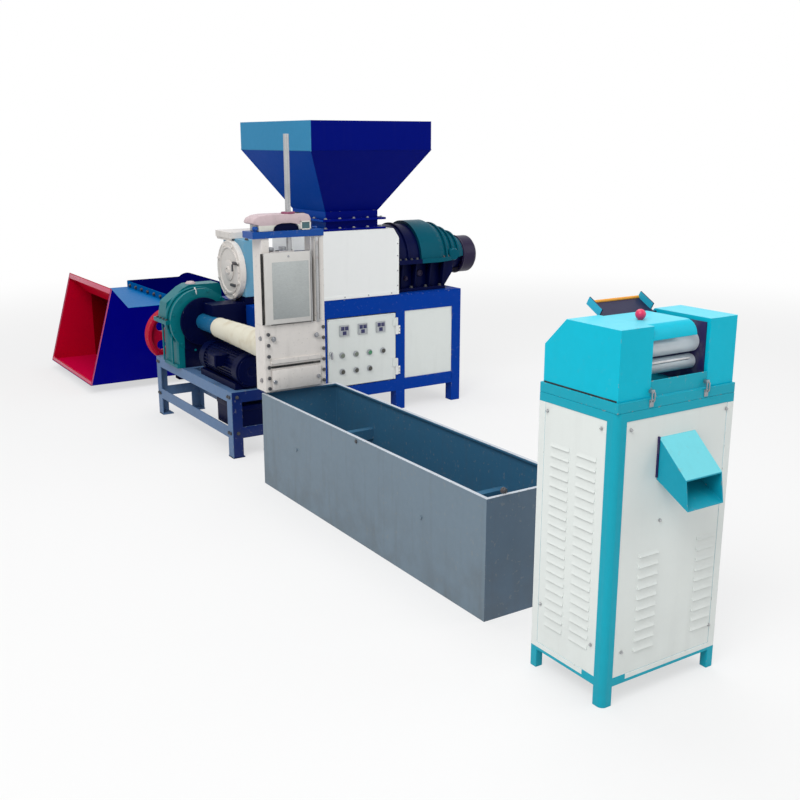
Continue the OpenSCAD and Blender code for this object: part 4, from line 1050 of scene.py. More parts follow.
@dataclass
class WaterTank:
    """The cooling tank that the strands run through, with its two guide bars."""

    seam: float = 1.4
    stud: Bolt = Bolt(19.0, 9.0, 14.0)

    def dress(self) -> None:
        """Paints the tank and its bars."""
        dress("water_tank", Palette.tank, 1.2)
        dress("tank_guide_bars", Palette.tank, 0.8)

    def build(self) -> None:
        """Models the rim's bead, the corner welds, the bars' gussets, the drain, two plugs and a notch plate."""
        lo, hi = box_mm("water_tank")
        bars_lo, bars_hi = box_mm("tank_guide_bars")
        welds = []
        for x in (lo.x + 6.5, hi.x - 6.5):
            for y in (lo.y + 6.5, hi.y - 6.5):
                welds.append(BENCH.turned("weld", (x, y, 6), Facing.UP, [(1.6, 0), (2.4, 3), (2.4, hi.z - 16), (1.6, hi.z - 13)], 8))
        finish_piece(BENCH.join("tank_corner_welds", welds), Palette.tank)
        lip = 16.0
        bead = [
            BENCH.block("bead", (lo.x + lip - 2, lo.y + lip - 2, hi.z - 12), (lo.x + lip + 1, hi.y - lip + 2, hi.z - 0.6), 1.0),
            BENCH.block("bead", (hi.x - lip - 1, lo.y + lip - 2, hi.z - 12), (hi.x - lip + 2, hi.y - lip + 2, hi.z - 0.6), 1.0),
            BENCH.block("bead", (lo.x + lip - 2, lo.y + lip - 2, hi.z - 12), (hi.x - lip + 2, lo.y + lip + 1, hi.z - 0.6), 1.0),
            BENCH.block("bead", (lo.x + lip - 2, hi.y - lip - 1, hi.z - 12), (hi.x - lip + 2, hi.y - lip + 2, hi.z - 0.6), 1.0),
        ]
        finish_piece(BENCH.join("tank_rim_fold", bead), Palette.tank)
        gussets = []
        for y in (bars_lo.y, bars_hi.y - 40):
            for x, inward in ((lo.x + 5, 1), (hi.x - 5, -1)):
                gussets.append(
                    BENCH.prism(
                        "gusset", [(x, bars_lo.z - 34), (x + inward * 46, bars_lo.z + 2), (x + inward * 46, bars_lo.z + 50), (x, bars_lo.z + 50)],
                        "XZ", y + 9, y + 14, 0.6,
                    )
                )
        finish_piece(BENCH.join("tank_bar_gussets", gussets), Palette.tank)
        drain = BENCH.turned(
            "tank_drain", ((lo.x + hi.x) / 2 + 120, lo.y, 62), Facing.NEAR,
            [(24, 0), (24, 5), (17, 5.5), (17, 22), (20, 23), (20, 40), (17, 42)], 28,
        )
        plug = BENCH.turned("plug", ((lo.x + hi.x) / 2 + 120, lo.y - 42, 62), Facing.NEAR, [(12, 0), (12, 9), (10.5, 11)], 6)
        finish_piece(BENCH.join("tank_drain", [drain, plug]), Palette.zinc, smooth=28)
        plugs = [
            BENCH.turned("plug", (77, lo.y, 525), Facing.NEAR, [(13, -1), (13, 5), (9, 8), (9, 16)], 20),
            BENCH.turned("plug", (lo.x, 965, 486), Facing.LEFT, [(9, -1), (9, 4), (6, 6)], 16),
        ]
        finish_piece(BENCH.join("tank_plugs", plugs), Palette.black_bolt, smooth=28)
        lift = BENCH.prism("tank_notch_plate", [(hi.x - 70, hi.z - 34), (hi.x - 22, hi.z - 34), (hi.x - 22, hi.z - 14), (hi.x - 62, hi.z - 14)], "XZ", lo.y - 2, lo.y + 0.5, 0.5)
        finish_piece(lift, Palette.tank)


@dataclass
class MainStand:
    """The steel stand under the main extruder, with its panels and its control door."""

    controller_side: float = 72.0
    button_pitch: float = 105.0

    def dress(self) -> None:
        """Paints the frame, the panels and the door."""
        dress("main_stand", Palette.royal, 3.0)
        dress("stand_top_plate", Palette.royal, 1.2)
        dress("stand_end_panels", Palette.royal, 0.8)
        for node in ("front_right_panel", "stand_back_panels", "control_door"):
            dress(node, Palette.panel, 1.0)
        dress("door_hinges", Palette.white, 0.8)
        dress("temperature_controllers", Palette.bezel, 2.0)
        dress("push_buttons", Palette.bezel, 1.4)

    def build(self) -> None:
        """Models all that is fixed on the stand and its door."""
        self._controllers()
        self._buttons()
        self._door_trim()
        self._feet()

    def _controllers(self) -> None:
        """Models a controller's face with its dark displays, three times."""
        lo, hi = box_mm("temperature_controllers")
        side, pitch = self.controller_side, (hi.x - lo.x - self.controller_side) / 2
        z = (lo.z + hi.z) / 2
        frames, screens = [], []
        for number in range(3):
            x = lo.x + side / 2 + number * pitch
            face = BENCH.block("face", (x - side / 2 + 2, lo.y - 2.5, z - side / 2 + 2), (x + side / 2 - 2, lo.y + 1, z + side / 2 - 2), 1.5)
            with BENCH.edit(face) as mesh:
                BENCH.pick_faces(mesh, lambda centre, normal: normal.y < -0.9)
                bpy.ops.mesh.inset(thickness=5 * MM, depth=-1.2 * MM)
            frames.append(face)
            for left, low, wide in ((-29, 2, 27), (2, 2, 27), (-15, -29, 28)):
                start = (x + left, lo.y - 2.4, z + low)
                screens.append(BENCH.block("screen", start, (x + left + wide, lo.y - 1, z + low + 26), 0.8))
        finish_piece(BENCH.join("controller_faces", frames), Palette.bezel, "door")
        finish_piece(BENCH.join("controller_screens", screens), Palette.digits, "door")

    def _buttons(self) -> None:
        """Models the bezel rings and the coloured caps of the push buttons."""
        lo, hi = box_mm("push_buttons")
        door_lo, _ = box_mm("control_door")
        top_z, low_z = hi.z - 20, lo.z + 20
        first = lo.x + 20
        rings, caps = [], []
        grey, dark = Palette.ivory, Palette.charcoal
        colours = [grey, grey, Palette.green, dark, dark, dark, dark]
        for number, colour in enumerate(colours):
            x = first + (number % 4) * self.button_pitch
            z = top_z if number < 4 else low_z
            rings.append(BENCH.tube("ring", (x, lo.y + 14, z), Facing.NEAR, 20.5, 8, 4.5, 28))
            cap = BENCH.turned("cap", (x, lo.y + 1, z), Facing.NEAR, [(14.4, 0), (14.4, 2.2), (12.5, 4.2), (8, 5.0), (7.5, 4.6)], 28)
            cap.data.materials.append(colour.material())
            caps.append(cap)
        finish_piece(BENCH.join("button_rings", rings), Palette.bezel, "door")
        finish_piece(BENCH.join("button_caps", caps), Palette.ivory, "door")

    def _door_trim(self) -> None:
        """Models the door's folded edge, its latch handle and hinge screws."""
        lo, hi = box_mm("control_door")
        y = lo.y + 11
        face_y = box_mm("main_stand")[0].y - 2
        trims = [
            BENCH.block("fold", (lo.x + 3, face_y - 1.6, lo.z + 3), (lo.x + 9, face_y + 1, hi.z - 3), 0.8),
            BENCH.block("fold", (hi.x - 36, face_y - 1.6, lo.z + 3), (hi.x - 30, face_y + 1, lo.z + 60), 0.8),
            BENCH.block("fold", (lo.x + 3, face_y - 1.6, lo.z + 3), (hi.x - 30, face_y + 1, lo.z + 9), 0.8),
            BENCH.block("fold", (lo.x + 3, face_y - 1.6, hi.z - 9), (hi.x - 30, face_y + 1, hi.z - 3), 0.8),
        ]
        finish_piece(BENCH.join("door_folds", trims), Palette.panel, "door")
        x, z = lo.x + 22, (lo.z + hi.z) / 2
        handle = BENCH.block("door_latch", (x - 6, face_y - 20, z - 34), (x + 6, face_y - 10, z + 12), 3)
        rose = BENCH.turned("rose", (x, face_y, z), Facing.NEAR, [(15, 0), (15, 3), (12, 4.5), (9, 4.5), (9, 12), (7, 13)], 24)
        finish_piece(BENCH.join("door_latch", [handle, rose]), Palette.zinc, "door")
        hinge_lo, hinge_hi = box_mm("door_hinges")
        spots = []
        for base in (hinge_lo.z, hinge_hi.z - 112):
            for rise in (16, 42):
                spots.append((hinge_hi.x - 11, hinge_lo.y + 3, base + rise))
        Bolt(8, 3).fit("hinge_screws", spots, Facing.NEAR, Palette.zinc)

    def _feet(self) -> None:
        """Models the weld beads at the rails' ends."""
        lo, hi = box_mm("main_stand")
        door_lo, door_hi = box_mm("control_door")
        posts = [lo.x, door_lo.x - 78, door_hi.x + 6 - 20, hi.x - 72]
        welds = []
        for x in (lo.x + 72, hi.x - 72):
            for z in (132, 214, hi.z - 113):
                welds.append(BENCH.bent_rod("weld", (x, lo.y + 1.2, z), 2.6, [(x, lo.y + 1.2, z + (-60 if z > 200 else 70))], 8))
        del posts
        finish_piece(BENCH.join("stand_weld_beads", welds), Palette.royal)


@dataclass
class MainExtruder:
    """The barrel cover, hopper, gearbox and head on the main stand."""

    flange_bolt: Bolt = Bolt(15.0, 7.0, 12.0)
    cover_bolt: Bolt = Bolt(20.0, 9.0, 15.0)

    def dress(self) -> None:
        """Paints the extruder."""
        dress("barrel_cover", Palette.white, 2.5)
        dress("main_barrel", Palette.barrel, 1.5)
        dress("barrel_supports", Palette.royal, 2.0)
        dress("head_housing", Palette.light_blue, 5.0)
        dress("head_cover", Palette.cream, 2.5)
        dress("head_top_plate", Palette.cream, 1.5)
        dress("hopper", Palette.hopper, 1.2)
        dress("hopper_neck", Palette.hopper, 1.5)
        dress("main_gearbox", Palette.gearbox, 4.0)
        dress("gearbox_cap", Palette.cap, 7.0, 3)

    def build(self) -> None:
        """Models the fittings of each part."""
        self._hopper()
        self._cover()
        self._gearbox()
        self._head()

    def _hopper(self) -> None:
        """Models the rim fold, the seams of the band and slopes, and the neck's bolts."""
        lo, hi = box_mm("hopper")
        neck_lo, neck_hi = box_mm("hopper_neck")
        band = hi.z - 174
        fold = []
        for x0, x1, y0, y1 in (
            (lo.x + 4, lo.x + 12, lo.y + 4, hi.y - 4), (hi.x - 12, hi.x - 4, lo.y + 4, hi.y - 4),
            (lo.x + 4, hi.x - 4, lo.y + 4, lo.y + 12), (lo.x + 4, hi.x - 4, hi.y - 12, hi.y - 4),
        ):
            fold.append(BENCH.block("fold", (x0, y0, hi.z - 22), (x1, y1, hi.z - 0.4), 1.6))
        finish_piece(BENCH.join("hopper_rim_fold", fold), Palette.hopper)
        seams = []
        for x in (lo.x, hi.x):
            seams.append(BENCH.bent_rod("seam", (x, lo.y, band), 2.4, [(x, hi.y, band)], 8))
        for y in (lo.y, hi.y):
            seams.append(BENCH.bent_rod("seam", (lo.x, y, band), 2.4, [(hi.x, y, band)], 8))
        half_x, half_y = (neck_hi.x - neck_lo.x) / 2 - 40, (neck_hi.y - neck_lo.y) / 2 - 40
        mid = (lo + hi) / 2
        for sx in (-1, 1):
            for sy in (-1, 1):
                seams.append(
                    BENCH.bent_rod(
                        "seam", (mid.x + sx * half_x, mid.y + sy * half_y, lo.z + 1), 2.6,
                        [(mid.x + sx * (hi.x - mid.x), mid.y + sy * (hi.y - mid.y), band)], 8,
                    )
                )
        finish_piece(BENCH.join("hopper_seams", seams), Palette.hopper)
        spots = []
        for z in (neck_lo.z + 14, neck_lo.z + 14 + 60.5):
            for share in (0.06, 0.28, 0.5, 0.72, 0.94):
                x = neck_lo.x + share * (neck_hi.x - neck_lo.x)
                y = neck_lo.y + share * (neck_hi.y - neck_lo.y)
                spots += [(x, neck_lo.y + 18, z), (x, neck_hi.y - 18, z)]
                if 0.1 < share < 0.9:
                    spots += [(neck_lo.x + 18, y, z), (neck_hi.x - 18, y, z)]
        self.flange_bolt.fit("hopper_flange_bolts", spots, Facing.UP, Palette.zinc)

    def _cover(self) -> None:
        """Models the white cover's seams, base angle and screws."""
        lo, hi = box_mm("barrel_cover")
        lines = [
            BENCH.block("strip", (lo.x - 1, lo.y - 1.6, lo.z + 1), (hi.x + 0.5, lo.y + 1, lo.z + 26), 0.7),
            BENCH.block("strip", (lo.x - 1, hi.y - 1, lo.z + 1), (hi.x + 0.5, hi.y + 1.6, lo.z + 26), 0.7),
            BENCH.block("strip", (lo.x - 1.6, lo.y - 1, lo.z + 1), (lo.x + 1, hi.y + 1, lo.z + 26), 0.7),
            BENCH.block("strip", (lo.x - 1.6, lo.y - 1.4, lo.z + 20), (lo.x + 20, lo.y + 1, hi.z - 6), 0.7),
            BENCH.block("strip", (hi.x - 22, lo.y - 1.4, lo.z + 20), (hi.x, lo.y + 1, hi.z - 64), 0.7),
        ]
        finish_piece(BENCH.join("cover_seam_strips", lines), Palette.white)
        spots = [(lo.x + 10, lo.y - 1.4, lo.z + z) for z in (60, 160, 260, 360)]
        spots += [(hi.x - 11, lo.y - 1.4, lo.z + z) for z in (60, 160, 260, 340)]
        spots += [(lo.x + x, lo.y - 1.6, lo.z + 13) for x in (60, 240, 420, 600)]
        Bolt(9.0, 3.0).fit("cover_screws_near", spots, Facing.NEAR, Palette.zinc)
        back = [(lo.x + x, hi.y + 1.6, lo.z + 13) for x in (60, 240, 420, 600)]
        Bolt(9.0, 3.0).fit("cover_screws_far", back, Facing.FAR, Palette.zinc)

    def _gearbox(self) -> None:
        """Models the gearbox's gussets, flange bolts, foot bolts, cap ring, oil plugs and shaft boss."""
        lo, hi = box_mm("main_gearbox")
        cap_lo, cap_hi = box_mm("gearbox_cap")
        axis_y, axis_z = (lo.y + hi.y) / 2, (cap_lo.z + cap_hi.z) / 2
        base, flange = 180.0, axis_z - 14
        gussets = []
        for x in (lo.x + 60, lo.x + 170, lo.x + 290, lo.x + 400):
            for side in (-1, 1):
                y = axis_y + side * (base - 3)
                gussets.append(
                    BENCH.prism(
                        "gusset", [(y, lo.z + 21), (y + side * 40, lo.z + 21), (y + side * 66, flange + 1), (y, flange + 1)],
                        "YZ", x - 6, x + 6, 1.4,
                    )
                )
        # Painted shade: the gussets take the dark navy of the shaded lower half.
        finish_piece(BENCH.join("gearbox_gussets", gussets), Palette.navy)
        spots = [(lo.x + 26 + n * 46, axis_y + side * 257, axis_z + 14) for n in range(4) for side in (-1, 1)]
        spots += [(x, axis_y + side * (258 - 0.366 * (x - lo.x - 350)), axis_z + 14) for x in (lo.x + 396, lo.x + 444, lo.x + 492) for side in (-1, 1)]
        Bolt(13.0, 9.0, 10.0).fit("gearbox_flange_bolts", spots, Facing.UP, Palette.black_bolt)
        feet = [(lo.x + 34 + n * 118, axis_y + side * 201, lo.z + 22) for n in range(4) for side in (-1, 1)]
        Bolt(19.0, 12.0, 15.0).fit("gearbox_foot_bolts", feet, Facing.UP, Palette.black_bolt)
        ring = BENCH.bead("gearbox_cap_ring", (cap_lo.x + 10, axis_y, axis_z), Facing.RIGHT, 130, 6, 64)
        finish_piece(ring, Palette.cap)
        plugs = [
            BENCH.turned("plug", (lo.x + 118, axis_y - base, axis_z - 120), Facing.NEAR, [(18, -3), (18, 5), (13, 5), (13, 13), (11, 15)], 6),
            BENCH.turned("glass", (lo.x + 232, axis_y - base, axis_z - 90), Facing.NEAR, [(24, -3), (24, 6), (20, 9), (15, 9), (14, 6)], 28),
        ]
        finish_piece(BENCH.join("gearbox_plugs", plugs), Palette.cap, smooth=28)
        boss = BENCH.turned("shaft_boss", (lo.x + 497, axis_y - 120, axis_z + 26), Facing.NEAR, [(42, -60), (42, 96), (36, 106), (20, 107)], 36)
        finish_piece(boss, Palette.gearbox, smooth=28)

    def _head(self) -> None:
        """Models the head's rims, bolts, latch bars, plate edge and heater terminals."""
        lo, hi = box_mm("head_cover")
        house_lo, house_hi = box_mm("head_housing")
        top_lo, top_hi = box_mm("head_top_plate")
        y, z = (lo.y + hi.y) / 2, (lo.z + hi.z) / 2
        radius = (hi.z - lo.z) / 2
        rims = [
            BENCH.bead("rim", (lo.x + 10, y, z), Facing.LEFT, radius - 4, 6, 64),
            BENCH.bead("rim", (lo.x + 8, y, z), Facing.LEFT, radius - 46, 4, 64),
        ]
        finish_piece(BENCH.join("head_rims", rims), Palette.cream)
        self.cover_bolt.fit("head_bolts", ring_places((lo.x + 8, y, z), Facing.LEFT, radius - 20, 8, 22.5), Facing.LEFT, Palette.cream)
        hub = BENCH.turned("head_hub", (lo.x + 7, y, z), Facing.LEFT, [(66, 0), (66, 4), (60, 7), (26, 7), (24, 15), (17, 17), (17, 10), (12, 9)], 40)
        finish_piece(hub, Palette.cream, smooth=28)
        bars = [
            BENCH.block("bar", (lo.x - 4, y - 150, z + 44), (lo.x + 9, y - 70, z + 62), 3),
            BENCH.block("bar", (lo.x - 4, y - 110, z - 96), (lo.x + 9, y - 26, z - 80), 3),
            BENCH.bent_rod("grip", (lo.x + 8, y - 120, z + 53), 6, [(lo.x - 16, y - 120, z + 53), (lo.x - 22, y - 116, z + 46), (lo.x - 22, y - 116, z + 6)]),
        ]
        finish_piece(BENCH.join("head_latches", bars), Palette.black_bolt)
        top_bolts = [(house_lo.x + x, house_lo.y + d, house_hi.z) for x in (26, 82) for d in (12,)]
        self.cover_bolt.fit("head_top_bolts", top_bolts, Facing.UP, Palette.black_bolt)
        plate = BENCH.block("head_plate_stiffener", (top_lo.x + 6, top_lo.y + 6, top_lo.z - 14), (top_lo.x + 14, top_hi.y - 6, top_lo.z + 1), 1.2)
        finish_piece(plate, Palette.cream)
        terminals = []
        for n in range(3):
            x = house_hi.x + 50 + n * 92
            terminals.append(BENCH.block("terminal", (x - 16, y - 30, z + 95), (x + 16, y + 30, z + 128), 3))
        finish_piece(BENCH.join("heater_terminals", terminals), Palette.zinc)


@dataclass
class SecondExtruder:
    """The second extruder on its angle iron stand: gearbox, pulley, motor and wrapped barrel."""

    laps: int = 11

    def dress(self) -> None:
        """Paints the second extruder."""
        dress("second_stand", Palette.second_stand, 1.2)
        dress("second_gearbox", Palette.second_casing, 5.0)
        dress("bearing_housing", Palette.navy, 4.0)
        dress("red_pulley", Palette.red, 2.5)
        dress("second_motor", Palette.navy, 5.0)
        dress("stand_box", Palette.navy, 3.0)
        dress("second_barrel", Palette.tube_blue, 1.5)
        dress("barrel_sleeve", Palette.wrap, 1.5)
        dress("feed_throat", Palette.navy, 3.0)

    def build(self) -> None:
        """Models the fittings of each part."""
        self._sleeve()
        self._gearbox()
        self._motor()
        self._pulley()
        self._stand()

    def _sleeve(self) -> None:
        """Models the glass tape, lap by lap, in place of the plain sleeve."""
        lo, hi = box_mm("barrel_sleeve")
        x, z = (lo.x + hi.x) / 2, (lo.z + hi.z) / 2
        front, length = (hi.x - lo.x) / 2, hi.y - lo.y
        rear = front - 24
        outline = [(front - 30, 0.0), (front - 6, 0.0)]
        for lap in range(self.laps):
            start, end = lap / self.laps, (lap + 1) / self.laps
            outline.append((front + (rear - front) * start - 3.4, length * start + 2))
            outline.append((front + (rear - front) * end + 0.6 - 1.0, length * end - 3))
        outline += [(rear - 4, length), (rear - 14, length)]
        wrap = BENCH.turned("glass_tape", (x, lo.y, z), Facing.FAR, outline, 44)
        BENCH.apply(wrap, "BEVEL", width=1.2 * MM, segments=1, limit_method="ANGLE", angle_limit=math.radians(30))
        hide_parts("barrel_sleeve")
        finish_piece(wrap, Palette.wrap, smooth=40)

    def _gearbox(self) -> None:
        """Models the casing's bolts, ribs, lever, filler bump and oil plug, and the bearing's bolts."""
        bearing_lo, bearing_hi = box_mm("bearing_housing")
        x, z = (bearing_lo.x + bearing_hi.x) / 2, (bearing_lo.z + bearing_hi.z) / 2
        front, seam, back = bearing_hi.y, bearing_hi.y + 130, bearing_hi.y + 250
        ribs = [BENCH.bead("rib", (x, front + 72, z), Facing.FAR, 203, 7, 72)]
        for side in (-1, 1):
            ribs.append(BENCH.block("gusset", (x + side * 176 - 5, front + 60, 421), (x + side * 176 + 5, front + 72, z - 11), 1.4))
            ribs.append(BENCH.block("gusset", (x + side * 176 - 5, back - 30, 421), (x + side * 176 + 5, back - 18, z - 11), 1.4))
        finish_piece(BENCH.join("second_gearbox_ribs", ribs), Palette.teal)
        bolts = [(x - 212, front + 58 + n * 52, z + 12) for n in range(4)]
        Bolt(14.0, 8.0, 11.0).fit("second_flange_bolts", bolts, Facing.UP, Palette.black_bolt)
        ring = ring_places((x, front, z), Facing.NEAR, 190, 12, 15)
        Bolt(13.0, 6.0).fit("second_ring_bolts", ring, Facing.NEAR, Palette.teal)
        bearing = ring_places((x, bearing_lo.y, z), Facing.NEAR, 138, 10, 18)
        Bolt(13.0, 6.0).fit("bearing_bolts", bearing, Facing.NEAR, Palette.navy)
        top = [
            BENCH.turned("bump", (x + 12, front + 190, z + 212), Facing.UP, [(34, 0), (32, 8), (24, 15), (10, 18)], 28),
        ]
        finish_piece(top[0], Palette.pink, smooth=40)
        top[0].name = "second_gearbox_bump"
        lever = BENCH.bent_rod("second_gearbox_lever", (x - 22, front + 6, z + 168), 4.5, [(x - 30, front - 8, z + 196), (x - 40, front - 14, z + 214)])
        finish_piece(lever, Palette.white)
        plug = BENCH.turned("plug", (x, back, z + 150), Facing.FAR, [(20, -2), (20, 6), (13, 6), (13, 14)], 6)
        feet = BENCH.block("seat", (x - 170, front + 12, 398.5), (x + 170, back - 4, 421), 3)
        finish_piece(BENCH.join("second_gearbox_seat", [plug, feet]), Palette.teal)

    def _motor(self) -> None:
        """Models the end shield's steps and screws, the rim and the terminal box's lid."""
        lo, hi = box_mm("second_motor")
        x, radius = hi.x - 98, 98.0
        z = hi.z - radius
        ends = [
            BENCH.turned("shield", (x, lo.y, z), Facing.NEAR, [(radius - 6, -4), (radius - 12, 9), (radius - 50, 10), (32, 9), (26, 5)], 48),
            BENCH.turned("cowl", (x, hi.y, z), Facing.FAR, [(radius - 3, -4), (radius - 14, 6), (radius - 40, 6)], 48),
        ]
        finish_piece(BENCH.join("motor_end_shields", ends), Palette.navy, smooth=28)
        rim = BENCH.bead("motor_front_rim", (x, lo.y + 3, z), Facing.NEAR, radius - 3, 4.5, 56)
        finish_piece(rim, Palette.navy)
        Bolt(12, 6).fit("motor_shield_bolts", ring_places((x, lo.y, z), Facing.NEAR, radius - 16, 4, 45), Facing.NEAR, Palette.black_bolt)
        lid = BENCH.block("motor_terminal_lid", (lo.x - 7, lo.y + 186, z + 5), (lo.x + 1, lo.y + 304, z + 77), 3)
        with BENCH.edit(lid) as mesh:
            BENCH.pick_faces(mesh, lambda centre, normal: normal.x < -0.9)
            bpy.ops.mesh.inset(thickness=8 * MM, depth=2 * MM)
        finish_piece(lid, Palette.navy)

    def _pulley(self) -> None:
        """Models the hub's taper bush, two rim beads and the shaft's end."""
        lo, hi = box_mm("red_pulley")
        x, z = (lo.x + hi.x) / 2, (lo.z + hi.z) / 2
        bush = BENCH.turned("bush", (x, hi.y - 2, z), Facing.FAR, [(44, 0), (42, 5), (30, 6), (29, 3)], 36)
        rims = [BENCH.bead("lip", (x, y, z), Facing.FAR, (hi.z - lo.z) / 2 - 12, 3.5, 72) for y in (hi.y - 77, hi.y - 1)]
        finish_piece(BENCH.join("pulley_bush", [bush, *rims]), Palette.red, "pulley", 30)
        shaft = BENCH.turned("pulley_shaft_end", (x, hi.y - 4, z), Facing.FAR, [(21, 0), (21, 7), (18, 9.5)], 24)
        finish_piece(shaft, Palette.zinc, "pulley", 28)

    def _stand(self) -> None:
        """Models the stand's bolts, foot pads and the box's lid."""
        lo, hi = box_mm("second_stand")
        side = []
        for x, facing in ((lo.x, Facing.LEFT), (hi.x, Facing.RIGHT)):
            for y in (lo.y + 22, lo.y + 48, hi.y - 48, hi.y - 22):
                side.append(((x, y, hi.z - 33), facing))
                side.append(((x, y, 150), facing))
        for name, facing in (("stand_bolts_left", Facing.LEFT), ("stand_bolts_right", Facing.RIGHT)):
            Bolt(15, 7, 11).fit(name, [spot for spot, way in side if way is facing], facing, Palette.black_bolt)
        front = [(x, lo.y, z) for x in (lo.x + 36, hi.x - 36) for z in (hi.z - 33, 150)]
        Bolt(15, 7, 11).fit("stand_bolts_near", front, Facing.NEAR, Palette.black_bolt)
        pads = []
        for x in (lo.x, hi.x - 74):
            for y in (lo.y, hi.y - 74):
                pads.append(BENCH.block("pad", (x, y, 0), (x + 74, y + 74, 8), 1.2))
        finish_piece(BENCH.join("second_stand_pads", pads), Palette.second_stand)
        box_lo, box_hi = box_mm("stand_box")
        lid = BENCH.block("stand_box_lid", (box_lo.x - 3, box_lo.y - 3, box_hi.z - 26), (box_hi.x + 3, box_hi.y + 3, box_hi.z + 3), 3)
        finish_piece(lid, Palette.navy)


